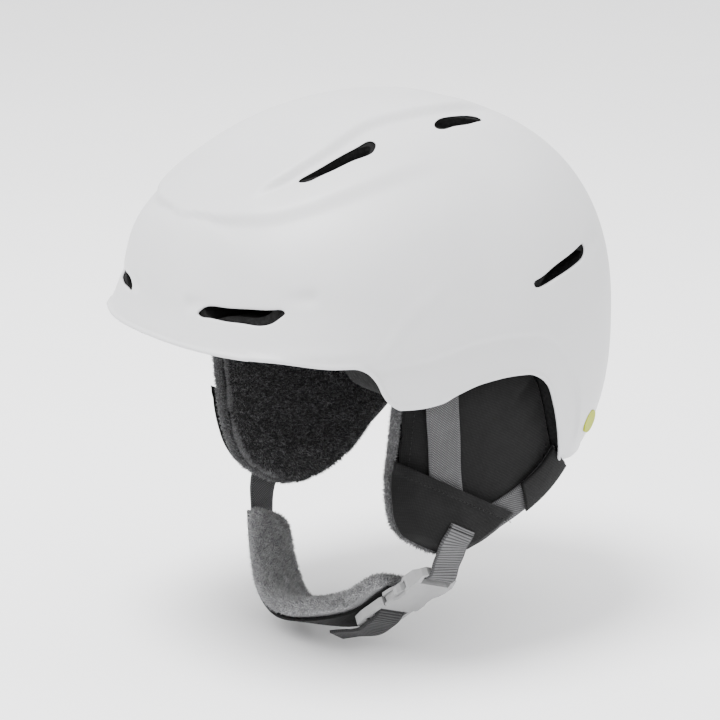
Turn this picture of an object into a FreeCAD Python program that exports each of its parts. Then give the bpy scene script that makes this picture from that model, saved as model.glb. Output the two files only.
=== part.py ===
import FreeCAD, Part
import math
import os
from FreeCAD import Matrix, Placement, Rotation, Vector

# Ski helmet. Millimetres. Origin at the centre of the head form, +Z up, the face looks along -Y,
# and the wearer's left is +X.

doc = FreeCAD.newDocument("SkiHelmet")
sheet = doc.addObject("Spreadsheet::Sheet", "Sizes")

SIZES = [
    ("half_width", 112.0, "centre to the shell's side"),
    ("front_reach", 127.5, "centre to the shell's front"),
    ("rear_reach", 138.5, "centre to the shell's back"),
    ("crown_height", 123.7, "centre to the crown of the body of the shell"),
    ("lower_reach", 123.2, "depth of the shell's surface if it closed below"),
    ("squareness", 2.43, "exponent of the shell's surface; 2 is an ellipsoid"),
    ("cap_half_width", 135.5, "ellipsoid that flattens the crown"),
    ("cap_half_length", 166.2, "the same, along the helmet"),
    ("cap_half_height", 123.8, "the same, upwards"),
    ("cap_back", 12.2, "the cap's centre lies this far back"),
    ("cap_tilt", 6.25, "the cap leans forward, degrees"),
    ("cap_blend", 6.2, "width of the blend between cap and body"),
    ("peak_flare", 4.2, "how far the peak stands out"),
    ("shell_wall", 2.0, "hard shell"),
    ("fit_gap", 0.15, "gap between nested layers"),
    ("cavity_half_width", 86.5, "inside of the foam"),
    ("cavity_half_length", 109.0, "inside of the foam"),
    ("cavity_height", 98.0, "inside of the foam, above the head form's centre"),
    ("cavity_back", 3.0, "the cavity's axis lies this far back"),
    ("slip_gap", 2.2, "room for the slip liner to move"),
    ("slip_wall", 1.2, "slip liner"),
    ("comfort_wall", 6.0, "comfort pads"),
    ("foam_rise", 5.0, "foam stops this far above the shell's edge"),
    ("slip_rise", 18.0, "slip liner stops this far above the shell's edge"),
    ("web_width", 19.0, "webbing"),
    ("web_thick", 1.6, "webbing"),
    ("band_radius", 80.0, "head band about the axis of the nape"),
    ("band_back", 15.0, "the nape's axis lies this far back"),
    ("band_thick", 1.6, "head band"),
    ("dial_level", -92.0, "height of the dial's axis"),
    ("dial_radius", 16.0, "dial's grip"),
    ("dial_depth", 10.0, "dial's grip"),
    ("shaft_radius", 3.0, "dial's shaft"),
    ("pinion_pitch", 5.0, "pitch radius of the dial's pinion"),
    ("pinion_depth", 2.0, "pinion"),
    ("socket_length", 34.0, "buckle socket"),
    ("socket_width", 27.0, "buckle socket"),
    ("socket_thick", 8.0, "buckle socket"),
    ("cavity_thick", 4.4, "slot in the socket for the plug"),
    ("plug_thick", 5.0, "outer part of the plug"),
    ("arm_thick", 4.0, "release arms and tongue"),
    ("clip_width", 28.0, "goggle clip"),
    ("clip_height", 44.0, "goggle clip"),
    ("clip_gap", 4.2, "gap for the goggle strap"),
    ("pin_radius", 1.5, "goggle clip's hinge pin"),
    ("pin_length", 28.0, "goggle clip's hinge pin"),
]
for row, (alias, value, meaning) in enumerate(SIZES, start=1):
    sheet.set(f"A{row}", alias)
    sheet.set(f"B{row}", str(value))
    sheet.setAlias(f"B{row}", alias)
    sheet.set(f"C{row}", meaning)
doc.recompute()


def size(alias):
    """A driving dimension from the sheet."""
    return float(sheet.get(alias))


pieces = []


def add_piece(label, shape, place=Placement()):
    """One node whose shape is made by code, in its own frame if a place is given."""
    piece = doc.addObject("Part::Feature", label)
    piece.Label = label
    piece.Shape = shape
    piece.Placement = place
    pieces.append(piece)
    return piece


def mirrored(shape):
    """The same piece on the wearer's right."""
    return shape.mirror(Vector(0, 0, 0), Vector(1, 0, 0))


def add_pair(name, shape):
    """A left piece and its mirror image."""
    add_piece(name + "_left", shape)
    add_piece(name + "_right", mirrored(shape))


def curve_through(points):
    """A smooth function through (place, value) points that never overshoots them."""
    count = len(points)
    steps = [points[i + 1][0] - points[i][0] for i in range(count - 1)]
    rises = [(points[i + 1][1] - points[i][1]) / steps[i] for i in range(count - 1)]
    slopes = [rises[0]]
    for i in range(1, count - 1):
        same_way = rises[i - 1] * rises[i] > 0
        slopes.append(2 * rises[i - 1] * rises[i] / (rises[i - 1] + rises[i]) if same_way else 0.0)
    slopes.append(rises[-1])

    def value(place):
        place = min(max(place, points[0][0]), points[-1][0])
        i = 0
        while i < count - 2 and place > points[i + 1][0]:
            i += 1
        step = steps[i]
        u = (place - points[i][0]) / step
        start = (2 * u - 3) * u * u + 1
        lean_in = ((u - 2) * u + 1) * u
        lean_out = (u - 1) * u * u
        return (start * points[i][1] + (1 - start) * points[i + 1][1]
                + step * (lean_in * slopes[i] + lean_out * slopes[i + 1]))

    return value


# ---------------------------------------------------------------- the shell's surface

half_width = size("half_width")
front_reach = size("front_reach")
rear_reach = size("rear_reach")
crown_height = size("crown_height")
lower_reach = size("lower_reach")
squareness = size("squareness")
cap_axes = (size("cap_half_width"), size("cap_half_length"), size("cap_half_height"))
cap_tilt = math.radians(size("cap_tilt"))
cap_blend = size("cap_blend")
cap_start_y = -size("cap_back") * math.cos(cap_tilt)
cap_start_z = size("cap_back") * math.sin(cap_tilt)


def smooth_step(value):
    value = min(max(value, 0.0), 1.0)
    return value * value * (3 - 2 * value)


def cap_radius(x, y, z):
    """Distance from the origin to the tilted ellipsoid over the crown."""
    along = y * math.cos(cap_tilt) + z * math.sin(cap_tilt)
    over = -y * math.sin(cap_tilt) + z * math.cos(cap_tilt)
    wide, long, high = cap_axes
    a = (x / wide) ** 2 + (along / long) ** 2 + (over / high) ** 2
    b = 2 * (along * cap_start_y / long ** 2 + over * cap_start_z / high ** 2)
    c = (cap_start_y / long) ** 2 + (cap_start_z / high) ** 2 - 1
    return (-b + math.sqrt(b * b - 4 * a * c)) / (2 * a)


def peak_height(x, y, z, radius):
    """How far the peak stands out of the body there."""
    side = math.atan2(abs(x), -y)
    crease = 30 + 9 * smooth_step((side - 0.1) / 0.8)
    reach = smooth_step((math.radians(70) - side) / math.radians(35))
    below = min(max((crease - radius * z) / 20, 0.0), 1.3)
    return size("peak_flare") * reach * below * below * (1.6 - 0.6 * min(below, 1.0))


def shell_radius(x, y, z):
    """Distance from the origin to the shell's outside along a unit direction."""
    reach = front_reach if y < 0 else rear_reach
    height = crown_height if z > 0 else lower_reach
    powers = (abs(x / half_width) ** squareness + abs(y / reach) ** squareness
              + abs(z / height) ** squareness)
    body = powers ** (-1 / squareness)
    cap = cap_radius(x, y, z)
    share = min(max(0.5 + 0.5 * (cap - body) / cap_blend, 0.0), 1.0)
    radius = cap * (1 - share) + body * share - cap_blend * share * (1 - share)
    return radius + (peak_height(x, y, z, radius) if y < 0 and z * radius < 45 else 0.0)


def beyond(x, y, z, inset):
    """Positive outside the surface that lies inset under the shell's outside."""
    distance = math.sqrt(x * x + y * y + z * z)
    return distance - shell_radius(x / distance, y / distance, z / distance) + inset


def reach_along(start, direction, inset):
    """Distance from a start inside the surface to the surface."""
    low, high = 0.0, 260.0
    for _ in range(34):
        middle = (low + high) / 2
        point = start + direction * middle
        if beyond(point.x, point.y, point.z, inset) < 0:
            low = middle
        else:
            high = middle
    return (low + high) / 2


def surface_point(x, y, z, inset=0.0):
    """Where the ray from the origin through a point meets the surface."""
    direction = Vector(x, y, z).normalize()
    return direction * (shell_radius(direction.x, direction.y, direction.z) - inset)


SECTION_POINTS = 28
LOFT_DEGREE = 3
LEVEL_ANGLES = (5, 12, 20, 30, 41, 52, 62, 70, 75, 80, 85, 90)
LOWER_LEVELS = (-20.0, -42.0, -62.0, -80.0)


def crown_of(inset):
    """The highest point of the surface at that inset: its place along the helmet and its height."""
    low, high = -30.0, 50.0
    for _ in range(40):
        third = (high - low) / 3
        front = reach_along(Vector(0, low + third, 0), Vector(0, 0, 1), inset)
        back = reach_along(Vector(0, high - third, 0), Vector(0, 0, 1), inset)
        if front < back:
            low += third
        else:
            high -= third
    place = (low + high) / 2
    return place, reach_along(Vector(0, place, 0), Vector(0, 0, 1), inset)


def dome(inset):
    """Closed solid under the surface at that inset, flat at the bottom."""
    crown_y, top = crown_of(inset)
    levels = [top * math.cos(math.radians(angle)) for angle in LEVEL_ANGLES] + list(LOWER_LEVELS)
    sections = [Part.Vertex(0, crown_y, top)]
    for level in levels:
        centre = Vector(0, crown_y, level)
        points = []
        for i in range(SECTION_POINTS):
            angle = 2 * math.pi * i / SECTION_POINTS
            direction = Vector(math.cos(angle), math.sin(angle), 0)
            points.append(centre + direction * reach_along(centre, direction, inset))
        ring = Part.BSplineCurve()
        ring.interpolate(Points=points, PeriodicFlag=True)
        sections.append(Part.Wire(ring.toShape()))
    return Part.makeLoft(sections, True, False, False, LOFT_DEGREE)


# The shell's lower edge seen from the side: peak, cheek lobe, ear arch, then the nape.
lower_edge = curve_through([
    (-204, 10.0), (-112, 9.7), (-84, 6.1), (-73.6, 5.6), (-67.5, 3.1), (-61.8, -3.1), (-58.3, -10.2),
    (-54.2, -15.3), (-48, -18.9), (-37.8, -19.4), (-25.6, -18.4), (-15.3, -14.8), (0, -11.2),
    (16.4, -10.2), (30.7, -11.2), (38.8, -14.3), (46, -20.4), (52.1, -32.7), (58.3, -47),
    (64.4, -60.3), (71.5, -71.5), (204, -73.6)])
EDGE_STEP = 4
WIDE = 400.0


def below_edge(rise, above=False):
    """Everything below the lower edge raised by rise, or everything above it."""
    places = [y for y in range(-140, 101, EDGE_STEP)]
    curve = Part.BSplineCurve()
    curve.interpolate([Vector(-WIDE / 2, y, lower_edge(y) + rise) for y in places])
    first, last = curve.StartPoint, curve.EndPoint
    far = 200.0 if above else -200.0
    front, back = Vector(first.x, -220, first.z), Vector(last.x, 220, last.z)
    corners = [last, back, Vector(back.x, back.y, far), Vector(front.x, front.y, far), front, first]
    edges = [curve.toShape()] + [Part.LineSegment(a, b).toShape() for a, b in zip(corners, corners[1:])]
    return Part.Face(Part.Wire(edges)).extrude(Vector(WIDE, 0, 0))


def opening(points, along):
    """A closed smooth outline through the points, pushed along a direction."""
    loop = Part.BSplineCurve()
    loop.interpolate(Points=points, PeriodicFlag=True)
    return Part.Face(Part.Wire(loop.toShape())).extrude(along)


def shrunk(points, share):
    middle = Vector(0, 0, 0)
    for point in points:
        middle += point
    middle = middle * (1.0 / len(points))
    return [middle + (point - middle) * share for point in points]


# Vents on the left. The right side has the same.
crown_vent = [Vector(x, y, 60) for x, y in
              [(48, -71.5), (53.5, -58), (57, -42), (56.5, -32), (51, -26.5), (48.5, -36), (47.5, -55)]]
rear_crown_vent = [Vector(x, y, 60) for x, y in
                   [(50, 12.5), (54, 20), (53, 30), (44, 49.5), (41, 38), (41.5, 24), (44, 15)]]
side_vent = [Vector(60, y, z) for y, z in
             [(37.5, 33.5), (45, 39.5), (58, 44.5), (72, 48), (81, 46), (73, 40.5), (59, 35.5), (46, 33)]]
peak_vent = [Vector(x, -60, z) for x, z in
             [(33, 31.5), (50, 34.3), (66, 37.3), (75, 38.2), (73.5, 33), (60, 29), (46, 26.5), (36, 26)]]
FOAM_SHARE = 0.86
RIVET_PLACES = (-8.0, 8.0)
RIVET_LEVEL = 4.0
RIVET_RADIUS = 2.0
CLIP_FACE = 143.0


def rod(radius, length, base, direction):
    return Part.makeCylinder(radius, length, base, direction)


def both_sides(shape):
    return [shape, mirrored(shape)]


def rivet_holes(clearance):
    return [rod(RIVET_RADIUS + clearance, 30, Vector(x, CLIP_FACE - 25, RIVET_LEVEL), Vector(0, 1, 0))
            for x in RIVET_PLACES]


SHELL_INSET = size("shell_wall")
FOAM_OUT = SHELL_INSET + size("fit_gap")
SLIP_OUT = size("slip_gap")
SLIP_IN = SLIP_OUT + size("slip_wall")
COMFORT_OUT = SLIP_IN + size("fit_gap")
COMFORT_IN = COMFORT_OUT + size("comfort_wall")
CAVITY_FLOOR = 100.0
cavity_middle = Vector(0, size("cavity_back"), 0)


def cavity_axes(inset):
    return [size(name) - inset for name in ("cavity_half_width", "cavity_half_length", "cavity_height")]


def cavity(inset):
    """Half an ellipsoid over straight elliptical walls: the room inside the foam, less the inset."""
    wide, long, high = cavity_axes(inset)
    over, under = Matrix(), Matrix()
    over.scale(wide, long, high)
    under.scale(wide, long, CAVITY_FLOOR)
    roof = Part.makeSphere(1.0, Vector(0, 0, 0), Vector(0, 0, 1), 0, 90, 360).transformGeometry(over)
    walls = Part.makeCylinder(1.0, 1.0, Vector(0, 0, -1)).transformGeometry(under)
    room = roof.fuse(walls)
    room.translate(cavity_middle)
    return room


def cavity_normal(aim):
    """The outward direction square to the cavity's surface where that ray meets it."""
    wide, long, high = cavity_axes(0.0)
    place = cavity_point(aim, 0.0) - cavity_middle
    return Vector(place.x / wide ** 2, place.y / long ** 2, place.z / high ** 2).normalize()


def cavity_rod(radius, length, aim, inset):
    """A rod square to the cavity's surface, from that far inside it outwards."""
    normal = cavity_normal(aim)
    return rod(radius, length, cavity_point(aim, 0.0) - normal * inset, normal)


def cavity_point(aim, inset):
    """Where a ray from the cavity's middle meets that surface, above the middle."""
    wide, long, high = cavity_axes(inset)
    unit = Vector(aim).normalize()
    reach = 1 / math.sqrt((unit.x / wide) ** 2 + (unit.y / long) ** 2 + (unit.z / high) ** 2)
    return cavity_middle + unit * reach


outer_dome = dome(0.0)

# ---------------------------------------------------------------- places that several pieces share

# The outside face of the left ear pad, and its outline seen from the side.
pad_face_at_middle = curve_through([(-118, 77), (-112, 79.5), (-95, 85), (-75, 90), (-60, 92.5),
                                    (-35, 97), (-15, 100), (0, 101)])
pad_front = curve_through([(-116, 6), (-112, -1), (-108, -9), (-102, -20), (-94, -31), (-80, -38),
                           (-60, -41), (0, -41)])
pad_rear = curve_through([(-116, 8), (-112, 14), (-108, 25), (-96, 45), (-82, 59), (-73, 67.5), (-60, 70),
                          (-45, 69), (-25, 66), (0, 62)])
pad_thickness = curve_through([(-115, 6), (-112, 9), (-108, 14), (-100, 18), (-85, 21), (-40, 22), (0, 22)])
PAD_BEND = 0.0022
PAD_MIDDLE = 8.0
PAD_LEVELS = (-112.0, -109.5, -105.0, -98.0, -90.0, -81.0, -72.0, -63.0, -52.0, -40.0, -27.0, -14.0, 0.0)


def pad_face(y, z):
    return pad_face_at_middle(z) - PAD_BEND * (y - PAD_MIDDLE) ** 2


def bent_slab(levels, inner, outer, front_margin=0.0, rear_margin=0.0):
    """A soft slab that follows the ear pad between two shares of its thickness."""
    wires = []
    for level in levels:
        first = pad_front(level) + front_margin
        last = pad_rear(level) - rear_margin
        depth_in, depth_out = inner * pad_thickness(level), outer * pad_thickness(level)
        points = []
        for i in range(20):
            angle = 2 * math.pi * i / 20
            along = math.copysign(abs(math.cos(angle)) ** 0.65, math.cos(angle))
            through = math.copysign(abs(math.sin(angle)) ** 0.65, math.sin(angle))
            y = (first + last) / 2 + (last - first) / 2 * along
            depth = (depth_in + depth_out) / 2 - (depth_in - depth_out) / 2 * through
            points.append(Vector(pad_face(y, level) - depth, y, level))
        loop = Part.BSplineCurve()
        loop.interpolate(Points=points, PeriodicFlag=True)
        wires.append(Part.Wire(loop.toShape()))
    return Part.makeLoft(wires, True, False)


def cloth_over_pad(levels, lift, thick, margin):
    """A thin sheet that follows the ear pad's face from its front edge to its rear edge."""
    wires = []
    for level in levels:
        first, last = pad_front(level) + margin, pad_rear(level) - margin
        arcs = []
        for height in (lift - thick / 2, lift + thick / 2):
            places = [first + (last - first) * i / 6 for i in range(7)]
            arc = Part.BSplineCurve()
            arc.interpolate([Vector(pad_face(y, level) + height, y, level) for y in places])
            arcs.append(arc)
        inner, outer = arcs
        front = Part.LineSegment(outer.StartPoint, inner.StartPoint).toShape()
        rear = Part.LineSegment(inner.EndPoint, outer.EndPoint).toShape()
        wires.append(Part.Wire([inner.toShape(), rear, outer.toShape(), front]))
    return Part.makeLoft(wires, True, False)


def smooth_route(points, steps):
    """Points on a smooth curve through the given ones."""
    curve = Part.BSplineCurve()
    curve.interpolate(points)
    first, last = curve.FirstParameter, curve.LastParameter
    return [curve.value(first + (last - first) * i / steps) for i in range(steps + 1)]


def ribbon(centres, across, width, thick):
    """Flat webbing: rectangles along the centres, joined by straight spans."""
    wires = []
    for i, centre in enumerate(centres):
        along = (centres[min(i + 1, len(centres) - 1)] - centres[max(i - 1, 0)]).normalize()
        side = across[i] - along * across[i].dot(along)
        side.normalize()
        out = along.cross(side)
        half_side, half_out = side * (width / 2), out * (thick / 2)
        corners = [centre + half_side + half_out, centre - half_side + half_out,
                   centre - half_side - half_out, centre + half_side - half_out]
        wires.append(Part.makePolygon(corners + corners[:1]))
    return Part.makeLoft(wires, True, True)


def pad_route(places, lift, steps):
    """A route and its width directions on the ear pad's face, lifted off it."""
    route = smooth_route([Vector(0, y, z) for y, z in places], steps)
    centres = [Vector(pad_face(p.y, p.z) + lift, p.y, p.z) for p in route]
    across = []
    for i, centre in enumerate(centres):
        along = centres[min(i + 1, steps)] - centres[max(i - 1, 0)]
        side = Vector(0, -along.z, along.y).normalize()
        ahead = pad_face(centre.y + side.y, centre.z + side.z)
        across.append(Vector(ahead - pad_face(centre.y, centre.z), side.y, side.z))
    return centres, across


# The chin buckle's own frame: x from the strap slot towards the plug, y across, z out of its face.
buckle_along = Vector(-0.706, -0.309, -0.637).normalize()
buckle_across = Vector(-0.104, 0.928, -0.336)
buckle_across = (buckle_across - buckle_along * buckle_across.dot(buckle_along)).normalize()
buckle_out = buckle_along.cross(buckle_across)
BUCKLE_START = Vector(78.0, -4.5, -123.5)
buckle_place = Placement(Matrix(
    buckle_along.x, buckle_across.x, buckle_out.x, BUCKLE_START.x,
    buckle_along.y, buckle_across.y, buckle_out.y, BUCKLE_START.y,
    buckle_along.z, buckle_across.z, buckle_out.z, BUCKLE_START.z,
    0, 0, 0, 1))


def on_buckle(along, across, out):
    """A point given in the buckle's own frame."""
    return buckle_place.multVec(Vector(along, across, out))


# Anchors of the slip liner point outwards from the origin along these directions.
ANCHOR_AIMS = [Vector(side * 0.5, y, z) for side in (1, -1) for y, z in ((-0.45, 0.74), (0.55, 0.67))]
STEM_RADIUS = 3.0
PLUG_RADIUS = 4.0
HEAD_RADIUS = 9.0
SLIP_HOLE = 6.2

# The straps hang from plugs in the foam: place across, place along, bottom and top.
STRAP_ANCHORS = [(99.0, -20.0, -11.0, -2.0), (80.0, 75.0, -63.0, -56.0)]
STRAP_ANCHOR_RADIUS = 5.0
SNAP_PLACES = (-30.0, 10.0, 36.0)
SNAP_RADIUS = 3.5
SNAP_DEPTH = 5.0


def snap_rod(y, clearance):
    edge = lower_edge(y)
    base = Vector(pad_face(y, edge) - SNAP_DEPTH, y, edge + 0.5)
    return rod(SNAP_RADIUS + clearance, 7.0, base, Vector(0, 0, 1))


# ---------------------------------------------------------------- shell, foam and slip liner

vents = []
deep_vents = []
for outline in (crown_vent, rear_crown_vent):
    vents += both_sides(opening(outline, Vector(0, 0, 90)))
    deep_vents += both_sides(opening(shrunk(outline, FOAM_SHARE), Vector(0, 0, 90)))
vents += both_sides(opening(side_vent, Vector(80, 0, 0)))
vents += both_sides(opening(peak_vent, Vector(0, -90, 0)))
side_pocket = [Vector(88, p.y, p.z) for p in shrunk(side_vent, FOAM_SHARE)]
peak_pocket = [Vector(p.x, -92, p.z) for p in shrunk(peak_vent, FOAM_SHARE)]
deep_vents += both_sides(opening(side_pocket, Vector(60, 0, 0)))
deep_vents += both_sides(opening(peak_pocket, Vector(0, -60, 0)))

shell = outer_dome.cut(dome(SHELL_INSET)).cut(below_edge(0.0))
shell = shell.cut(vents + rivet_holes(0.05))
add_piece("outer_shell", shell)

foam = dome(FOAM_OUT).cut(cavity(0.0)).cut(below_edge(size("foam_rise")))
pockets = list(deep_vents) + rivet_holes(0.05)
for aim in ANCHOR_AIMS:
    pockets.append(cavity_rod(PLUG_RADIUS + 0.05, 8.1, aim, 2.0))
for x, y, bottom, top in STRAP_ANCHORS:
    pockets += both_sides(rod(STRAP_ANCHOR_RADIUS + 0.05, top - bottom + 5.05, Vector(x, y, bottom - 5), Vector(0, 0, 1)))
for y in SNAP_PLACES:
    pockets += both_sides(snap_rod(y, 0.05))
foam = foam.cut(pockets)
add_piece("foam_liner", foam)

slip = cavity(SLIP_OUT).cut(cavity(SLIP_IN)).cut(below_edge(size("slip_rise")))
slip_holes = list(deep_vents)
for aim in ANCHOR_AIMS:
    slip_holes.append(cavity_rod(SLIP_HOLE, 12.0, aim, SLIP_IN + 6))
add_piece("slip_liner", slip.cut(slip_holes))

anchors = []
for aim in ANCHOR_AIMS:
    head = cavity_rod(HEAD_RADIUS, 1.2, aim, SLIP_IN + 3.4)
    stem = cavity_rod(STEM_RADIUS, 7.9, aim, SLIP_IN + 2.9)
    plug = cavity_rod(PLUG_RADIUS, 6.0, aim, 0.0)
    anchors.append(head.fuse([stem, plug]).removeSplitter())
add_piece("liner_anchors", Part.makeCompound(anchors))

# ---------------------------------------------------------------- comfort pads on the slip liner

comfort_layer = cavity(COMFORT_OUT).cut(cavity(COMFORT_IN))


def comfort_block(low, high, rounding):
    block = Part.makeBox(high[0] - low[0], high[1] - low[1], high[2] - low[2], Vector(*low))
    return block.makeFillet(rounding, block.Edges)


add_piece("brow_pad", comfort_layer.common(comfort_block((-64, -150, 26), (64, -55, 50), 8)))
add_piece("rear_pad", comfort_layer.common(comfort_block((-48, 55, 8), (48, 160, 36), 8)))
add_pair("side_pad", comfort_layer.common(comfort_block((40, -45, 12), (120, 58, 38), 8)))
crown_block = Part.makeCylinder(33, 100, Vector(0, -12, 60))
crown_block = crown_block.fuse(Part.makeCylinder(33, 100, Vector(0, 22, 60))).removeSplitter()
add_piece("crown_pad", comfort_layer.common(crown_block))

# ---------------------------------------------------------------- fit system at the nape

band_radius = size("band_radius")
band_back = size("band_back")
band_thick = size("band_thick")
dial_level = size("dial_level")
pinion_pitch = size("pinion_pitch")
FRAME_IN, FRAME_OUT = band_radius + 1.3, band_radius + 3.8
COVER_IN, COVER_OUT = band_radius - 3.6, band_radius - 1.3
HOUSING_HALF_ANGLE = 12.0
HOUSING_HALF_HEIGHT = 16.0
CUSHION_THICK = 5.0


def nape_sector(inner, outer, low, high, start, end):
    """Part of a ring about the nape's axis; angles run from the back towards the wearer's left."""
    axis = Vector(0, band_back, low)
    big = Part.makeCylinder(outer, high - low, axis, Vector(0, 0, 1), end - start)
    small = Part.makeCylinder(inner, high - low, axis, Vector(0, 0, 1), end - start)
    sector = big.cut(small)
    sector.rotate(axis, Vector(0, 0, 1), 90 - end)
    return sector


low, high = dial_level - HOUSING_HALF_HEIGHT, dial_level + HOUSING_HALF_HEIGHT
wide = HOUSING_HALF_ANGLE
STEM_TOP = -20.0
PEG_LEVEL = -28.0
PEG_RADIUS = 2.5
RAIL_TRAVEL = 6.5
stem_front = band_back + FRAME_IN
frame_plate = nape_sector(FRAME_IN, FRAME_OUT, low, high, -wide, wide)
stem = Part.makeBox(18, 2.5, STEM_TOP - high + 2, Vector(-9, stem_front, high - 2))
peg = rod(PEG_RADIUS, 7.0, Vector(0, stem_front + 1, PEG_LEVEL), Vector(0, 1, 0))
shaft_hole = rod(size("shaft_radius") + 0.05, 30, Vector(0, stem_front - 10, dial_level), Vector(0, 1, 0))
add_piece("cradle_frame", frame_plate.fuse([stem, peg]).cut(shaft_hole).removeSplitter())

rail = Part.makeBox(28, 20, 34, Vector(-14, stem_front + 3.0, -46)).common(cavity(COMFORT_OUT))
slot_low, slot_high = PEG_LEVEL - RAIL_TRAVEL - PEG_RADIUS, PEG_LEVEL + RAIL_TRAVEL + PEG_RADIUS
rail_slot = Part.makeBox(2 * PEG_RADIUS + 0.4, 40, slot_high - slot_low, Vector(-PEG_RADIUS - 0.2, 90, slot_low))
add_piece("height_rail", rail.cut(rail_slot))

cover = nape_sector(COVER_IN, COVER_OUT, low + 1, high - 1, -wide, wide)
lips = [nape_sector(COVER_OUT - 0.1, FRAME_IN - 0.1, low + 1, low + 3, -wide, wide),
        nape_sector(COVER_OUT - 0.1, FRAME_IN - 0.1, high - 3, high - 1, -wide, wide)]
add_piece("dial_cover", cover.fuse(lips).removeSplitter())
cushion = nape_sector(COVER_IN - CUSHION_THICK, COVER_IN - 0.2, low + 2, high - 2, -wide - 4, wide + 4)
add_piece("cradle_pad", cushion.makeFillet(2.0, cushion.Edges))

# Pinion and racks: ten teeth on the pitch circle, and racks whose pitch arc has the same spacing.
PINION_TEETH = 10
tooth_pitch = 2 * math.pi * pinion_pitch / PINION_TEETH
RACK_BACK = 4.6
TOOTH_ROOT, TOOTH_TIP = 1.1, 0.8
RACK_START, RACK_END, WING_END = -12.0, 26.0, 40.0
WING_HALF_HEIGHT = 9.6


def head_band(turn):
    """Rack above the pinion and wing on the left for turn +1; the other way round for -1."""
    bottom = dial_level + turn * (pinion_pitch + TOOTH_ROOT)
    top = dial_level + turn * (pinion_pitch + RACK_BACK)
    inner, outer = band_radius - band_thick / 2, band_radius + band_thick / 2
    spans = (RACK_START, RACK_END + 0.5) if turn > 0 else (-RACK_END - 0.5, -RACK_START)
    rack = nape_sector(inner, outer, min(bottom, top), max(bottom, top), *spans)
    wing_span = (RACK_END, WING_END) if turn > 0 else (-WING_END, -RACK_END)
    wing = nape_sector(inner, outer, dial_level - WING_HALF_HEIGHT, dial_level + WING_HALF_HEIGHT, *wing_span)
    upright = [edge for edge in wing.Edges if edge.Length < 1.01 * band_thick]
    wing = wing.makeFillet(4.0, upright) if len(upright) == 4 else wing
    parts = [wing]
    step = math.degrees(tooth_pitch / band_radius)
    first = math.ceil(RACK_START / step) + 0.5
    count = int((12.0 - RACK_START) / step)
    for i in range(count):
        angle = turn * (first + i) * step
        aim = Vector(math.sin(math.radians(angle)), math.cos(math.radians(angle)), 0)
        side = Vector(aim.y, -aim.x, 0)
        foot = Vector(0, band_back, bottom + turn * 0.2) + aim * inner
        tip = Vector(0, band_back, dial_level + turn * (pinion_pitch - TOOTH_TIP)) + aim * inner
        corners = [foot - side * 0.75, foot + side * 0.75, tip + side * 0.35, tip - side * 0.35]
        parts.append(Part.Face(Part.makePolygon(corners + corners[:1])).extrude(aim * band_thick))
    for part in parts:
        rack = rack.fuse(part)
    return rack


add_piece("band_left", head_band(1))
add_piece("band_right", head_band(-1))


# ---------------------------------------------------------------- bodies made with sketches

def new_body(label):
    body = doc.addObject("PartDesign::Body", label)
    body.Label = label
    pieces.append(body)
    return body


def new_sketch(body, role, name, lift=0.0):
    plane = [item for item in body.Origin.OriginFeatures if item.Role == role][0]
    sketch = body.newObject("Sketcher::SketchObject", name)
    sketch.AttachmentSupport = [(plane, "")]
    sketch.MapMode = "FlatFace"
    sketch.AttachmentOffset = Placement(Vector(0, 0, lift), Rotation())
    return sketch


def draw_loop(sketch, corners):
    for start, end in zip(corners, corners[1:] + corners[:1]):
        sketch.addGeometry(Part.LineSegment(Vector(start[0], start[1], 0), Vector(end[0], end[1], 0)), False)


def draw_circle(sketch, x, y, radius):
    return sketch.addGeometry(Part.Circle(Vector(x, y, 0), Vector(0, 0, 1), radius), False)


def pad_sketch(body, sketch, name, length, symmetric=False):
    pad = body.newObject("PartDesign::Pad", name)
    pad.Profile = sketch
    if symmetric:
        pad.Midplane = True
    pad.setExpression("Length", length)
    doc.recompute()
    return pad


def pocket_sketch(body, sketch, name, length):
    """Cuts through both ways about the sketch, and must take material away."""
    before = body.Shape.Volume
    pocket = body.newObject("PartDesign::Pocket", name)
    pocket.Profile = sketch
    pocket.Midplane = True
    pocket.setExpression("Length", length)
    doc.recompute()
    if body.Shape.Volume > before - 0.5:
        raise RuntimeError(f"{name} cuts nothing")
    return pocket


# The dial is drawn in its own frame, where z runs along its axis from the pinion to the knob.
dial = new_body("fit_dial")
pinion_sketch = new_sketch(dial, "XY_Plane", "PinionProfile")
outline = []
TOOTH_WIDTHS = ((3.9, 0.85), (5.8, 0.4))
for i in range(PINION_TEETH):
    turn = 2 * math.pi * i / PINION_TEETH
    (root, root_half), (tip, tip_half) = TOOTH_WIDTHS
    for radius, offset in ((root, -root_half), (tip, -tip_half), (tip, tip_half), (root, root_half)):
        angle = turn + offset / radius
        outline.append((radius * math.sin(angle), radius * math.cos(angle)))
draw_loop(pinion_sketch, outline)
pad_sketch(dial, pinion_sketch, "Pinion", "Sizes.pinion_depth")
SHAFT_END = 5.6
shaft_sketch = new_sketch(dial, "XY_Plane", "ShaftProfile")
draw_circle(shaft_sketch, 0, 0, size("shaft_radius"))
shaft_pad = dial.newObject("PartDesign::Pad", "Shaft")
shaft_pad.Profile = shaft_sketch
shaft_pad.Length = SHAFT_END + 0.5
knob_sketch = new_sketch(dial, "XY_Plane", "KnobProfile", SHAFT_END)
draw_circle(knob_sketch, 0, 0, size("dial_radius"))
pad_sketch(dial, knob_sketch, "Knob", "Sizes.dial_depth")
scallop_sketch = new_sketch(dial, "XY_Plane", "ScallopProfile", SHAFT_END + size("dial_depth"))
draw_circle(scallop_sketch, 0, size("dial_radius") + 1.2, 2.6)
scallop = dial.newObject("PartDesign::Pocket", "Scallop")
scallop.Profile = scallop_sketch
scallop.setExpression("Length", "Sizes.dial_depth - 1.5")
doc.recompute()
scallops = dial.newObject("PartDesign::PolarPattern", "Scallops")
scallops.Originals = [scallop]
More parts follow.
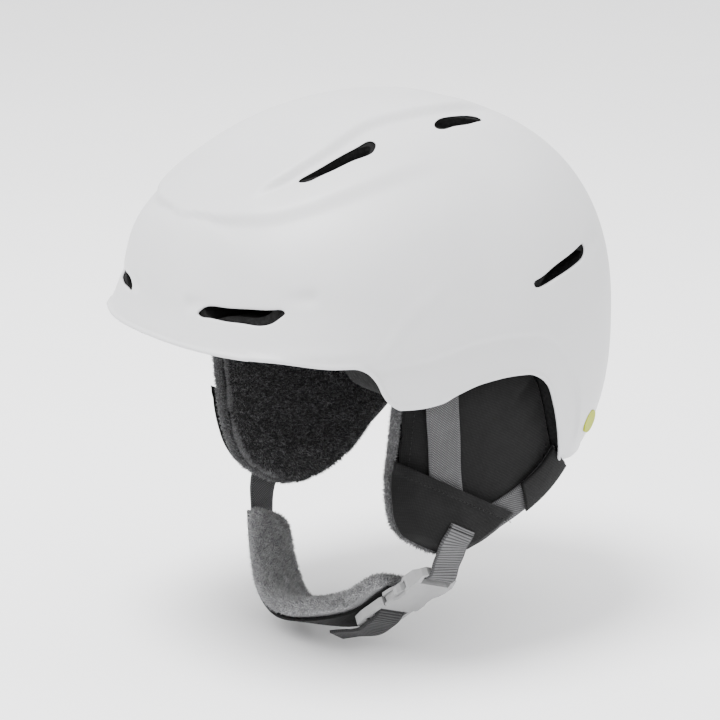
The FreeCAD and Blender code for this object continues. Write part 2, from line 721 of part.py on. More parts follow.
scallops.Axis = (knob_sketch, ["N_Axis"])
scallops.Angle = 360
scallops.Occurrences = 16
dial.Tip = scallops
doc.recompute()
PINION_START = band_back + band_radius - size("pinion_depth") / 2
dial.Placement = Placement(Vector(0, PINION_START, dial_level), Rotation(Vector(1, 0, 0), -90))

# Buckle socket: two plates joined at the strap end, open at the sides for the arms.
socket_half = size("socket_width") / 2
socket_end = size("socket_length") - 3.5
socket = new_body("buckle_socket")
socket_sketch = new_sketch(socket, "XY_Plane", "SocketOutline")
half_outline = [(-3.5, 10.5), (-1.5, 12.8), (3, socket_half), (9.5, socket_half), (13, 12.6), (15.5, 10.6),
                (20.5, 10.4), (23.5, 11.8), (socket_end - 1.2, 12.2), (socket_end, 11.2)]
draw_loop(socket_sketch, half_outline + [(x, -y) for x, y in reversed(half_outline)])
pad_sketch(socket, socket_sketch, "SocketPlate", "Sizes.socket_thick", symmetric=True)
slot_sketch = new_sketch(socket, "XY_Plane", "StrapSlot")
draw_loop(slot_sketch, [(-0.8, 10.6), (3.4, 10.6), (3.4, -10.6), (-0.8, -10.6)])
pocket_sketch(socket, slot_sketch, "StrapSlotCut", "Sizes.socket_thick + 2")
cavity_sketch = new_sketch(socket, "XY_Plane", "Cavity")
draw_loop(cavity_sketch, [(9.0, 8.8), (11.0, 9.6), (12.5, 20), (40, 20), (40, -20), (12.5, -20), (11.0, -9.6),
                          (9.0, -8.8)])
pocket_sketch(socket, cavity_sketch, "CavityCut", "Sizes.cavity_thick")
end_top_sketch = new_sketch(socket, "XZ_Plane", "StrapEndThinning")
draw_loop(end_top_sketch, [(-6, 2.4), (-0.8, 2.4), (3.4, 3.9), (3.4, 8), (-6, 8)])
draw_loop(end_top_sketch, [(-6, -2.4), (-6, -8), (3.4, -8), (3.4, -3.9), (-0.8, -2.4)])
pocket_sketch(socket, end_top_sketch, "StrapEndCut", "Sizes.socket_width + 4")
socket.Placement = buckle_place

# Buckle plug: tongue, shoulder, strap window, bar and end bar.
plug = new_body("buckle_plug")
PLUG_START = socket_end + 0.4
PLUG_END = 55.0
plug_sketch = new_sketch(plug, "XY_Plane", "PlugOutline")
half_outline = [(PLUG_START, 11.8), (PLUG_START + 1.5, 12.4), (47.0, 12.4), (PLUG_END - 1.5, 10.8), (PLUG_END, 9.2)]
draw_loop(plug_sketch, half_outline + [(x, -y) for x, y in reversed(half_outline)])
pad_sketch(plug, plug_sketch, "PlugPlate", "Sizes.plug_thick", symmetric=True)
window_sketch = new_sketch(plug, "XY_Plane", "StrapWindows")
draw_loop(window_sketch, [(34.6, 10.3), (41.6, 10.3), (41.6, -10.3), (34.6, -10.3)])
draw_loop(window_sketch, [(45.4, 10.3), (47.8, 10.3), (47.8, -10.3), (45.4, -10.3)])
pocket_sketch(plug, window_sketch, "StrapWindowCut", "Sizes.plug_thick + 2")
tongue_sketch = new_sketch(plug, "XY_Plane", "TongueOutline")
draw_loop(tongue_sketch, [(10.5, 2.4), (12.5, 3.2), (PLUG_START + 1, 3.2), (PLUG_START + 1, -3.2), (12.5, -3.2),
                          (10.5, -2.4)])
pad_sketch(plug, tongue_sketch, "Tongue", "Sizes.arm_thick", symmetric=True)
ARM_PIVOT = (28.6, 9.0)
plug.Placement = buckle_place


def release_arm(side):
    """One flexing arm of the plug with its thumb rest, in the buckle's frame."""
    half = size("arm_thick") / 2
    outline = [(12.2, 8.2), (14.0, 10.9), (15.6, 12.6), (18.2, 13.4), (20.8, 12.7), (22.6, 11.0),
               (26.0, 10.4), (29.4, 10.3), (30.2, 9.6), (30.2, 8.4), (29.4, 7.7), (24.0, 7.7), (14.2, 7.0)]
    corners = [Vector(x, side * y, -half) for x, y in outline]
    arm = Part.Face(Part.makePolygon(corners + corners[:1])).extrude(Vector(0, 0, 2 * half))
    pivot = rod(0.6, 4 * half, Vector(ARM_PIVOT[0], side * ARM_PIVOT[1], -2 * half), Vector(0, 0, 1))
    return arm.cut(pivot)


add_piece("release_arm_rear", release_arm(1), buckle_place)
add_piece("release_arm_front", release_arm(-1), buckle_place)

# ---------------------------------------------------------------- ear pads and straps

above_pad = below_edge(2.0, above=True)
cover = bent_slab(PAD_LEVELS, 0.44, 0.0, 2.5, 0.5).cut(above_pad)
cover = cover.cut([snap_rod(y, 0.05) for y in SNAP_PLACES])
add_pair("ear_pad_cover", cover)
add_pair("ear_pad_lining", bent_slab(PAD_LEVELS, 1.0, 0.46, 0.0, 0.5).cut(above_pad))

snaps = [snap_rod(y, 0.0) for y in SNAP_PLACES]
add_piece("ear_pad_snaps", Part.makeCompound(snaps + [mirrored(snap) for snap in snaps]))

web_width, web_thick = size("web_width"), size("web_thick")
STRAP_LIFT = 1.3
OVER_LIFT = 3.6
COVER_CLOTH = 1.2
SLEEVE_WIDTH = 20.5
FRONT_STRAP = [(-20, -11.4), (-17.5, -28), (-14.2, -42), (-11, -57), (-7.5, -72), (-2.5, -85), (1, -92)]
REAR_STRAP = [(74, -66.4), (65, -75), (54.5, -82.5), (42, -88.5), (26, -94.5)]
SLEEVE = [(69, -70.5), (61, -78), (46, -86.3)]
add_pair("front_strap", ribbon(*pad_route(FRONT_STRAP, STRAP_LIFT, 16), web_width, web_thick).cut(foam))
add_pair("rear_strap", ribbon(*pad_route(REAR_STRAP, STRAP_LIFT, 10), web_width, web_thick).cut([foam, shell]))
add_pair("rear_strap_sleeve", ribbon(*pad_route(SLEEVE, OVER_LIFT, 6), SLEEVE_WIDTH, COVER_CLOTH))

strap_anchors = []
for x, y, bottom, top in STRAP_ANCHORS:
    strap_anchors += both_sides(rod(STRAP_ANCHOR_RADIUS, top - bottom, Vector(x, y, bottom), Vector(0, 0, 1)))
add_piece("strap_anchors", Part.makeCompound(strap_anchors))

# The flap covers the lower front corner of the pad below a slanting hem.
HEM_START, HEM_END = (-41.0, -50.5), (56.0, -103.0)
FLAP_LEVELS = (-109.0, -106.5, -102.0, -96.0, -88.0, -79.0, -70.0, -60.0, -50.0, -46.0)
flap = cloth_over_pad(FLAP_LEVELS, OVER_LIFT, COVER_CLOTH, 1.0)
hem = [Vector(60, HEM_START[0] - 20, HEM_START[1] + 10.1), Vector(60, HEM_END[0] + 20, HEM_END[1] - 10.1),
       Vector(60, HEM_END[0] + 20, 20), Vector(60, HEM_START[0] - 20, 20)]
flap = flap.cut(Part.Face(Part.makePolygon(hem + hem[:1])).extrude(Vector(60, 0, 0)))

# ---------------------------------------------------------------- chin strap


def lifted(y, z, lift):
    """The middle of webbing that lies that far off the left ear pad's outside face."""
    return Vector(pad_face(y, z) + lift, y, z)


# The webbing leaves through a slit in the flap.
WEB_STEPS = 12
ACROSS_ON_PAD = Vector(-0.10, 0.885, -0.47)
SLIT_PLACES = [lifted(4.8, -95.5, 3.2), lifted(2.6, -99.5, 4.7), lifted(0.2, -104.0, 5.6)]
to_right = Matrix(-1, 0, 0, 0, 0, 1, 0, 0, 0, 0, 1, 0, 0, 0, 0, 1)
left_web = smooth_route(SLIT_PLACES + [lifted(-2.4, -109.5, 6.0), on_buckle(-4.5, 0, 5.0),
                                       on_buckle(-1.2, 0, 3.6), on_buckle(1.4, 0, 1.6), on_buckle(1.8, 0, -0.9)], WEB_STEPS)
turning = [ACROSS_ON_PAD * (1 - i / WEB_STEPS) + buckle_across * (i / WEB_STEPS) for i in range(WEB_STEPS + 1)]
add_piece("chin_web_left", ribbon(left_web, turning, web_width, web_thick))
slit_left = ribbon(left_web, turning, web_width + 0.6, web_thick + 0.5)

ACROSS_AT_RIGHT = Vector(-0.24, 0.86, -0.45)
right_web = smooth_route([to_right * place for place in SLIT_PLACES]
                         + [Vector(-81.6, -9.5, -112.0), Vector(-78.2, -13.8, -118.5), Vector(-75.9, -15.6, -124.2)],
                         WEB_STEPS)
across_on_right_pad = to_right * ACROSS_ON_PAD
turning = [across_on_right_pad * (1 - i / WEB_STEPS) + ACROSS_AT_RIGHT * (i / WEB_STEPS)
           for i in range(WEB_STEPS + 1)]
add_piece("chin_web_right", ribbon(right_web, turning, web_width, web_thick))
slit_right = ribbon(right_web, turning, web_width + 0.6, web_thick + 0.5)

add_piece("ear_pad_flap_left", flap.cut(slit_left))
add_piece("ear_pad_flap_right", mirrored(flap).cut(slit_right))

# The loop under the chin: points on the webbing, and the direction of its width there.
LOOP_LIFT = -7.4
CHIN_POINTS = [on_buckle(25, 0, LOOP_LIFT), on_buckle(38, 0, LOOP_LIFT), on_buckle(51, 0, LOOP_LIFT + 0.3),
               Vector(15, -37, -159.5), Vector(-9, -38, -164), Vector(-32, -33.5, -161.5),
               Vector(-52, -26.5, -152), Vector(-66, -20.5, -139), Vector(-74.5, -16.5, -127)]
ACROSS_AT_CHIN = Vector(0, 0.95, -0.3)
CHIN_STEPS = 24


def chin_layer(inner, outer, width, first=0.0, taper=0.0):
    """Part of the chin loop between two distances from the webbing's middle, outwards positive."""
    route = smooth_route(CHIN_POINTS, CHIN_STEPS)
    wires = []
    for i, point in enumerate(route):
        share = i / CHIN_STEPS
        if share < first:
            continue
        along = (route[min(i + 1, CHIN_STEPS)] - route[max(i - 1, 0)]).normalize()
        if share < 0.5:
            across = buckle_across * (1 - 2 * share) + ACROSS_AT_CHIN * (2 * share)
        else:
            across = ACROSS_AT_CHIN * (2 - 2 * share) + ACROSS_AT_RIGHT * (2 * share - 1)
        across = (across - along * across.dot(along)).normalize()
        out = along.cross(across)
        end = min(share - first, 1.0 - share) / 0.08
        half = width / 2 * (1 - taper * (1 - smooth_step(end)) * 0.35)
        low_side, high_side = inner, outer
        if taper:
            low_side = outer + (inner - outer) * (0.45 + 0.55 * smooth_step(end))
        corners = [point + across * half + out * high_side, point - across * half + out * high_side,
                   point - across * half + out * low_side, point + across * half + out * low_side]
        wires.append(Part.makePolygon(corners + corners[:1]))
    return Part.makeLoft(wires, True, True)


FLEECE_WIDTH = 33.0
add_piece("chin_pad_fleece", chin_layer(-9.8, -1.6, FLEECE_WIDTH, taper=1.0))
add_piece("chin_pad_backing", chin_layer(1.6, 2.6, FLEECE_WIDTH - 1))
add_piece("chin_web", chin_layer(-web_thick / 2, web_thick / 2, web_width, first=0.2))

tail_route = smooth_route([on_buckle(35.6, 0, -0.6), on_buckle(38.2, 0, 2.0), on_buckle(42, 0, 3.8),
                           on_buckle(48, 0, 4.2), on_buckle(55, 0, 4.0), Vector(33.5, -28.5, -164.0),
                           Vector(26.5, -34.0, -166.0)], 14)
tail_across = [buckle_across * (1 - i / 14) + ACROSS_AT_CHIN * (i / 14) for i in range(15)]
add_piece("strap_tail", ribbon(tail_route, tail_across, web_width, web_thick))

# ---------------------------------------------------------------- goggle clip and badge

clip_half = size("clip_width") / 2
CLIP_BOTTOM = -14.0
CLIP_TOP = CLIP_BOTTOM + size("clip_height")
PIN_LEVEL = CLIP_TOP - 3.0
PIN_BACK = CLIP_FACE + size("clip_gap") - 0.7
LUG_INNER = 9.5
base = Part.makeBox(2 * clip_half, CLIP_FACE - 130, CLIP_TOP - CLIP_BOTTOM, Vector(-clip_half, 130, CLIP_BOTTOM))
base = base.makeFillet(4.0, [edge for edge in base.Edges if abs(edge.Length - (CLIP_FACE - 130)) < 0.01])
lug = Part.makeBox(clip_half - LUG_INNER, PIN_BACK + 2.5 - CLIP_FACE + 2, 6.0, Vector(LUG_INNER, CLIP_FACE - 2, PIN_LEVEL - 3))
pin_bore = rod(size("pin_radius"), size("pin_length"), Vector(-size("pin_length") / 2, PIN_BACK, PIN_LEVEL), Vector(1, 0, 0))
base = base.fuse(both_sides(lug)).cut([outer_dome, pin_bore] + rivet_holes(0.05)).removeSplitter()
add_piece("goggle_clip_base", base)

flap_front = CLIP_FACE + size("clip_gap")
leaf = Part.makeBox(24, 2.5, PIN_LEVEL - 5 - CLIP_BOTTOM + 2, Vector(-12, flap_front, CLIP_BOTTOM - 2))
leaf = leaf.makeFillet(4.0, [edge for edge in leaf.Edges if abs(edge.Length - 2.5) < 0.01 and edge.CenterOfMass.z < 0])
knuckle_half = LUG_INNER - 0.3
neck = Part.makeBox(2 * knuckle_half, 2.5, 8.0, Vector(-knuckle_half, flap_front - 0.2, PIN_LEVEL - 7.5))
knuckle = rod(3.0, 2 * knuckle_half, Vector(-knuckle_half, PIN_BACK, PIN_LEVEL), Vector(1, 0, 0))
running_bore = rod(size("pin_radius") + 0.06, 40, Vector(-20, PIN_BACK, PIN_LEVEL), Vector(1, 0, 0))
add_piece("goggle_clip_flap", leaf.fuse([neck, knuckle]).cut(running_bore).removeSplitter())

pin = doc.addObject("Part::Cylinder", "goggle_clip_pin")
pin.Label = "goggle_clip_pin"
pin.setExpression("Radius", "Sizes.pin_radius")
pin.setExpression("Height", "Sizes.pin_length")
pin.Placement = Placement(Vector(-size("pin_length") / 2, PIN_BACK, PIN_LEVEL), Rotation(Vector(0, 1, 0), 90))
pieces.append(pin)

rivets = []
for x in RIVET_PLACES:
    shank = rod(RIVET_RADIUS, 18.0, Vector(x, CLIP_FACE - 17.9, RIVET_LEVEL), Vector(0, 1, 0))
    head = rod(3.6, 1.1, Vector(x, CLIP_FACE, RIVET_LEVEL), Vector(0, 1, 0))
    rivets.append(shank.fuse(head).removeSplitter())
add_piece("goggle_clip_rivets", Part.makeCompound(rivets))

badge_aim = Vector(86, 92, -52).normalize()
badge_place = surface_point(badge_aim.x, badge_aim.y, badge_aim.z)
badge_normal = Vector(0.86, 0.46, -0.22).normalize()
badge = rod(6.5, 5.0, badge_place - badge_normal * 4.0, badge_normal)
add_piece("round_badge", badge.cut(outer_dome))

# ---------------------------------------------------------------- check and write

doc.recompute()
for item in doc.Objects:
    if "Invalid" in item.State or "Error" in item.State:
        raise RuntimeError(f"{item.Name} failed: {item.State}")
os.makedirs("parts", exist_ok=True)
for piece in pieces:
    if piece.Shape.isNull() or not piece.Shape.isValid():
        raise RuntimeError(f"{piece.Label} has no valid shape")
for piece in pieces:
    piece.Shape.exportStep(f"parts/{piece.Label}.step")
    box = piece.Shape.BoundBox
    print(f"{piece.Label:22s} solids {len(piece.Shape.Solids)} volume {piece.Shape.Volume:10.1f} "
          f"x {box.XMin:7.1f} {box.XMax:7.1f} y {box.YMin:7.1f} {box.YMax:7.1f} z {box.ZMin:7.1f} {box.ZMax:7.1f}")
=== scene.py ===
"""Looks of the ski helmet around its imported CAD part. Lengths are in millimetres until a mesh is made."""
import math
import bmesh
import bpy
import numpy as np
from mathutils import Matrix, Vector, geometry


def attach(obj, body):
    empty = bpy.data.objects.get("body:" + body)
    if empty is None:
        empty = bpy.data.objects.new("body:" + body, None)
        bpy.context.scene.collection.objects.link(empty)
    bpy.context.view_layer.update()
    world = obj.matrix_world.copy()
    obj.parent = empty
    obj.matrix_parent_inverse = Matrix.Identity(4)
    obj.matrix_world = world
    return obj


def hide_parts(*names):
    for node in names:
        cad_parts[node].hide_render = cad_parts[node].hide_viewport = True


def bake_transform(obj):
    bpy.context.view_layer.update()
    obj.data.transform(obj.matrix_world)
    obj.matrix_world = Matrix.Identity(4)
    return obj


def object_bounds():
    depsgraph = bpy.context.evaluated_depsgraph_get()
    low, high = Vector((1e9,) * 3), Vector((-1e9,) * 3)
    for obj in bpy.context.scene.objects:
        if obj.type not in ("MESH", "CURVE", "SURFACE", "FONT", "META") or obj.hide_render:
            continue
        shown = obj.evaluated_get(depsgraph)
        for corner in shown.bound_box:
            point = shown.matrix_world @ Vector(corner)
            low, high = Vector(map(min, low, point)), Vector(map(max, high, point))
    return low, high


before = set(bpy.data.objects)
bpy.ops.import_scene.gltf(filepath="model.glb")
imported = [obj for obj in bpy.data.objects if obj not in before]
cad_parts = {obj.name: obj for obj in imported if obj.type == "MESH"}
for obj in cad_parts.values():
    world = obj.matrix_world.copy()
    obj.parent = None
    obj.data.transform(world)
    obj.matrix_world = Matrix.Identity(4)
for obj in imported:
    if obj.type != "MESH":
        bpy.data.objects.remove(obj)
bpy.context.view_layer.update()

MM = 0.001
LEFT, RIGHT = 1, -1
SIDES = ((LEFT, "left"), (RIGHT, "right"))

# ---------------------------------------------------------------- camera

CAMERA_AZIMUTH = math.radians(55.42)
CAMERA_ELEVATION = math.radians(13.97)
CAMERA_DISTANCE = 1.5
SENSOR = 36.0
FIELD_AT_TARGET = 0.3913

camera_back = Vector((math.sin(CAMERA_AZIMUTH) * math.cos(CAMERA_ELEVATION),
                      -math.cos(CAMERA_AZIMUTH) * math.cos(CAMERA_ELEVATION),
                      math.sin(CAMERA_ELEVATION)))
camera_data = bpy.data.cameras.new("camera")
camera_data.sensor_width = SENSOR
camera_data.lens = SENSOR * CAMERA_DISTANCE / FIELD_AT_TARGET
camera_data.shift_x = -0.0004
camera_data.shift_y = -0.0556
camera_data.clip_end = 20
camera = bpy.data.objects.new("camera", camera_data)
camera.location = camera_back * CAMERA_DISTANCE
camera.rotation_euler = camera_back.to_track_quat("Z", "Y").to_euler()
bpy.context.scene.collection.objects.link(camera)
bpy.context.scene.camera = camera


# ---------------------------------------------------------------- small tools

def smooth_step(value):
    value = np.clip(value, 0.0, 1.0)
    return value * value * (3 - 2 * value)


def unit(vectors):
    vectors = np.asarray(vectors, float)
    return vectors / np.maximum(np.linalg.norm(vectors, axis=-1, keepdims=True), 1e-12)


def curve_through(points):
    """A smooth function through (place, value) points that never overshoots them."""
    places, values = np.array(points, float).T
    steps, rises = np.diff(places), np.diff(values) / np.diff(places)
    same_way = rises[:-1] * rises[1:] > 0
    total = np.where(same_way, rises[:-1] + rises[1:], 1.0)
    inner_slopes = np.where(same_way, 2 * rises[:-1] * rises[1:] / total, 0.0)
    slopes = np.concatenate([rises[:1], inner_slopes, rises[-1:]])

    def value(place):
        place = np.clip(place, places[0], places[-1])
        i = np.clip(np.searchsorted(places, place, side="right") - 1, 0, len(steps) - 1)
        step = steps[i]
        u = (place - places[i]) / step
        start = (2 * u - 3) * u * u + 1
        lean_in, lean_out = ((u - 2) * u + 1) * u, (u - 1) * u * u
        return (start * values[i] + (1 - start) * values[i + 1]
                + step * (lean_in * slopes[i] + lean_out * slopes[i + 1]))

    return value


def lengths_along(points):
    """The way from a line's first point to each of its points."""
    return np.concatenate([[0], np.cumsum(np.linalg.norm(np.diff(points, axis=0), axis=1))])


def full_turn(count):
    """Even angles once round a circle."""
    return np.linspace(0, 2 * math.pi, count, endpoint=False)


def smooth_route(points, steps):
    """Points on a natural cubic spline through the given ones, parameter by chord."""
    points = np.array([tuple(p) for p in points], float)
    knots = lengths_along(points)
    count = len(points)
    spans = np.diff(knots)
    system, rhs = np.eye(count), np.zeros_like(points)
    for i in range(1, count - 1):
        system[i, i - 1:i + 2] = spans[i - 1], 2 * (spans[i - 1] + spans[i]), spans[i]
        rhs[i] = 6 * ((points[i + 1] - points[i]) / spans[i] - (points[i] - points[i - 1]) / spans[i - 1])
    bends = np.linalg.solve(system, rhs)
    made = []
    for place in np.linspace(0, knots[-1], steps + 1):
        i = min(int(np.searchsorted(knots, place, side="right")) - 1, count - 2)
        h, a, b = spans[i], knots[i + 1] - place, place - knots[i]
        made.append(bends[i] * a ** 3 / (6 * h) + bends[i + 1] * b ** 3 / (6 * h)
                    + (points[i] / h - bends[i] * h / 6) * a + (points[i + 1] / h - bends[i + 1] * h / 6) * b)
    return np.array(made)


def squared(wave, power):
    """A sine or cosine drawn out towards the corners of a square."""
    return np.sign(wave) * np.abs(wave) ** power


def in_scene(made):
    """Links a new object to the scene."""
    bpy.context.scene.collection.objects.link(made)
    return made


def plain_mesh(name, points, faces):
    """A mesh from points in millimetres."""
    mesh = bpy.data.meshes.new(name)
    mesh.from_pydata((np.asarray(points, float) * MM).tolist(), [], [tuple(map(int, face)) for face in faces])
    return mesh


def shade_smooth(mesh, material):
    mesh.polygons.foreach_set("use_smooth", np.ones(len(mesh.polygons), bool))
    mesh.materials.append(material)


def mesh_piece(name, points, faces, material, body):
    """An object from points in millimetres, that rides on a CAD body."""
    mesh = plain_mesh(name, points, faces)
    mesh.validate()
    shade_smooth(mesh, material)
    piece = in_scene(bpy.data.objects.new(name, mesh))
    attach(piece, body)
    return piece


def fix_normals(piece):
    """Turns every face outwards."""
    work = bmesh.new()
    work.from_mesh(piece.data)
    bmesh.ops.recalc_face_normals(work, faces=work.faces)
    work.to_mesh(piece.data)
    work.free()


def bridge(first, second):
    """Quads between two rings of vertex numbers."""
    count = len(first)
    return [(first[i], first[(i + 1) % count], second[(i + 1) % count], second[i]) for i in range(count)]


# ---------------------------------------------------------------- materials

def node(tree, kind, sockets=None, **settings):
    """A shader node. Its sockets, by name or number, take a value or the output of another node."""
    made = tree.nodes.new("ShaderNode" + kind)
    for name, value in settings.items():
        setattr(made, name, value)
    for name, value in (sockets or {}).items():
        if isinstance(value, bpy.types.NodeSocket):
            tree.links.new(value, made.inputs[name])
        else:
            made.inputs[name].default_value = value
    return made


def grey(value):
    """A grey that leans slightly to blue."""
    return (value, value, value * 1.01, 1.0)


class Finish:
    """One procedural material: colour and bump are built up from textures in the frame's own metres."""

    def __init__(self, name, roughness, sheen=0.0, specular=0.5):
        self.material = bpy.data.materials.new(name)
        self.material.use_nodes = True
        self.tree = self.material.node_tree
        self.shader = self.tree.nodes["Principled BSDF"]
        for socket, value in (("Roughness", roughness), ("Specular IOR Level", specular),
                              ("Sheen Weight", sheen), ("Sheen Roughness", 0.5), ("Coat Weight", 0.0)):
            self.shader.inputs[socket].default_value = value
        coordinates = node(self.tree, "TexCoord")
        self.place = coordinates.outputs["Object"]
        self.cloth = coordinates.outputs["UV"]

    def noise(self, per_metre, detail=3.0, roughness=0.55):
        made = node(self.tree, "TexNoise", {"Vector": self.place, "Scale": per_metre, "Detail": detail,
                                            "Roughness": roughness})
        return made.outputs["Fac"]

    def cells(self, per_metre):
        made = node(self.tree, "TexVoronoi", {"Vector": self.place, "Scale": per_metre})
        return made.outputs["Distance"]

    def maths(self, operation, first, second=0.0, third=0.0):
        return node(self.tree, "Math", {0: first, 1: second, 2: third}, operation=operation).outputs[0]

    def ramp(self, factor, *stops):
        made = node(self.tree, "ValToRGB", {"Fac": factor})
        elements = made.color_ramp.elements
        while len(elements) < len(stops):
            elements.new(0.5)
        for element, (place, colour) in zip(elements, stops):
            element.position = place
            element.color = colour if isinstance(colour, tuple) else grey(colour)
        return made.outputs["Color"]

    def mix(self, factor, first, second, blend="MIX"):
        sockets = {0: factor, 6: first, 7: second}
        return node(self.tree, "Mix", sockets, data_type="RGBA", blend_type=blend).outputs[2]

    def times(self, first, second):
        return self.mix(1.0, first, second, "MULTIPLY")

    def colour(self, socket):
        self.tree.links.new(socket, self.shader.inputs["Base Color"])
        return self

    def rough(self, factor, low, high):
        spread = node(self.tree, "MapRange", {"Value": factor, "To Min": low, "To Max": high})
        self.tree.links.new(spread.outputs[0], self.shader.inputs["Roughness"])
        return self

    def bump(self, *layers):
        """Each layer is a height and the depth in millimetres that it stands for."""
        normal = None
        for height, depth in layers:
            sockets = {"Height": height, "Distance": depth * MM, "Strength": 1.0}
            if normal is not None:
                sockets["Normal"] = normal
            normal = node(self.tree, "Bump", sockets).outputs["Normal"]
        self.tree.links.new(normal, self.shader.inputs["Normal"])
        return self

    def attribute(self, name):
        return node(self.tree, "Attribute", attribute_name=name).outputs["Fac"]

    def thread_axes(self):
        """Millimetres across and along a strap or cloth."""
        parts = node(self.tree, "SeparateXYZ", {"Vector": self.cloth})
        return parts.outputs["X"], parts.outputs["Y"]

    def wave(self, value, pitch):
        """0 to 1 and back over each pitch, in millimetres."""
        angle = self.maths("MULTIPLY", value, 2 * math.pi / pitch)
        return self.maths("MULTIPLY_ADD", self.maths("SINE", angle), 0.5, 0.5)


def make_shell_finish():
    finish = Finish("shell_white", 0.46, specular=0.42)
    broad, fine, marks = finish.noise(22, 3), finish.noise(2600, 2), finish.noise(480, 6, 0.75)
    tone = finish.ramp(broad, (0.3, (0.525, 0.527, 0.532, 1)), (0.7, (0.55, 0.552, 0.556, 1)))
    speck = finish.ramp(marks, (0.24, 0.86), (0.30, 1.0))
    finish.colour(finish.times(tone, speck))
    finish.rough(marks, 0.38, 0.56)
    return finish.bump((broad, 0.12), (fine, 0.012)).material


def make_foam_finish():
    finish = Finish("foam_grey", 0.9, specular=0.08)
    beads, grain = finish.cells(420), finish.noise(2400, 4, 0.7)
    tone = finish.ramp(beads, (0.0, 0.012), (0.55, 0.006), (0.8, 0.002))
    finish.colour(finish.mix(0.55, tone, finish.ramp(grain, (0.35, 0.002), (0.7, 0.020))))
    return finish.bump((finish.maths("MULTIPLY", beads, -1.0), 0.35), (grain, 0.08)).material


def make_plastic(name, low, high, roughness=0.42, grain=0.02, specular=0.45):
    finish = Finish(name, roughness, specular=specular)
    broad, fine = finish.noise(90, 4), finish.noise(4200, 3, 0.7)
    finish.colour(finish.mix(0.25, finish.ramp(broad, (0.3, low), (0.7, high)),
                             finish.ramp(fine, (0.3, low), (0.7, high))))
    finish.rough(broad, roughness - 0.07, roughness + 0.09)
    return finish.bump((fine, grain)).material


def make_softshell(name):
    """Black stretch cloth with a faint grid of threads."""
    finish = Finish(name, 0.85, sheen=0.06, specular=0.1)
    parts = node(finish.tree, "SeparateXYZ", {"Vector": finish.place})
    thread_gap = 0.9 * MM
    up, along = (finish.wave(parts.outputs[axis], thread_gap) for axis in "ZY")
    grid = finish.maths("MULTIPLY", up, along)
    broad, lint = finish.noise(60, 3), finish.noise(1500, 5, 0.8)
    tone = finish.ramp(grid, (0.0, 0.0022), (0.6, 0.0036), (1.0, 0.0065))
    cast = finish.ramp(broad, (0.3, 0.72), (0.7, 1.25))
    speck = finish.ramp(lint, (0.62, 0.0), (0.8, 0.006))
    finish.colour(finish.mix(1.0, finish.times(tone, cast), speck, "ADD"))
    return finish.bump((broad, 0.5), (grid, 0.14), (lint, 0.05)).material


def make_fleece(name, dark, light, tips):
    """Pile fabric: the ground, and tufts whose shade is kept on each one."""
    finish = Finish(name, 0.95, sheen=0.1, specular=0.05)
    speckle, clumps = finish.noise(900, 5, 0.8), finish.noise(160, 3)
    shade = finish.attribute("tuft")
    ground = finish.ramp(speckle, (0.3, dark), (0.72, light))
    pile = finish.ramp(shade, (0.0, dark), (0.45, light), (1.0, tips))
    cast = finish.ramp(clumps, (0.3, 0.75), (0.7, 1.2))
    finish.colour(finish.times(finish.mix(0.65, ground, pile), cast))
    return finish.bump((clumps, 0.8), (speckle, 0.4)).material


def make_webbing(name, dark, light, pattern):
    """Woven strap; x and y of its map are millimetres across and along it."""
    finish = Finish(name, 0.8, sheen=0.08, specular=0.12)
    across, along = finish.thread_axes()
    pitch, selvedge_at = 1.5, 8.4
    if pattern == "knit":
        first, second = (finish.wave(finish.maths(way, across, along), pitch) for way in ("ADD", "SUBTRACT"))
        weave = finish.maths("MULTIPLY", first, second)
    else:
        rib = finish.wave(along, pitch)
        weave = finish.maths("MULTIPLY_ADD", finish.wave(across, 0.7), 0.25, rib)
    edge = finish.maths("GREATER_THAN", finish.maths("ABSOLUTE", across), selvedge_at)
    selvedge = finish.wave(along, 1.1)
    height = finish.maths("ADD", finish.maths("MULTIPLY", weave, finish.maths("SUBTRACT", 1.0, edge)),
                          finish.maths("MULTIPLY", selvedge, finish.maths("MULTIPLY", edge, 0.5)))
    fibres, broad = finish.noise(3500, 3), finish.noise(70, 2)
    tone = finish.ramp(height, (0.08, dark), (0.5, (dark + light) / 2), (1.0, light))
    fuzz = finish.ramp(fibres, (0.3, 0.8), (0.7, 1.15))
    cast = finish.ramp(broad, (0.3, 0.9), (0.7, 1.08))
    finish.colour(finish.times(finish.times(tone, fuzz), cast))
    return finish.bump((height, 0.28), (fibres, 0.06)).material


def make_steel():
    finish = Finish("pin_steel", 0.35)
    finish.shader.inputs["Metallic"].default_value = 1.0
    streaks = finish.noise(1800, 5)
    finish.colour(finish.ramp(streaks, (0.3, 0.42), (0.7, 0.6)))
    finish.rough(streaks, 0.25, 0.45)
    return finish.bump((streaks, 0.01)).material


def make_badge():
    finish = Finish("badge_yellow", 0.55, specular=0.1)
    broad, fine = finish.noise(300, 4), finish.noise(4000, 2)
    finish.colour(finish.ramp(broad, (0.3, (0.27, 0.31, 0.0, 1)), (0.7, (0.32, 0.365, 0.0, 1))))
    finish.rough(broad, 0.32, 0.5)
    return finish.bump((fine, 0.01)).material


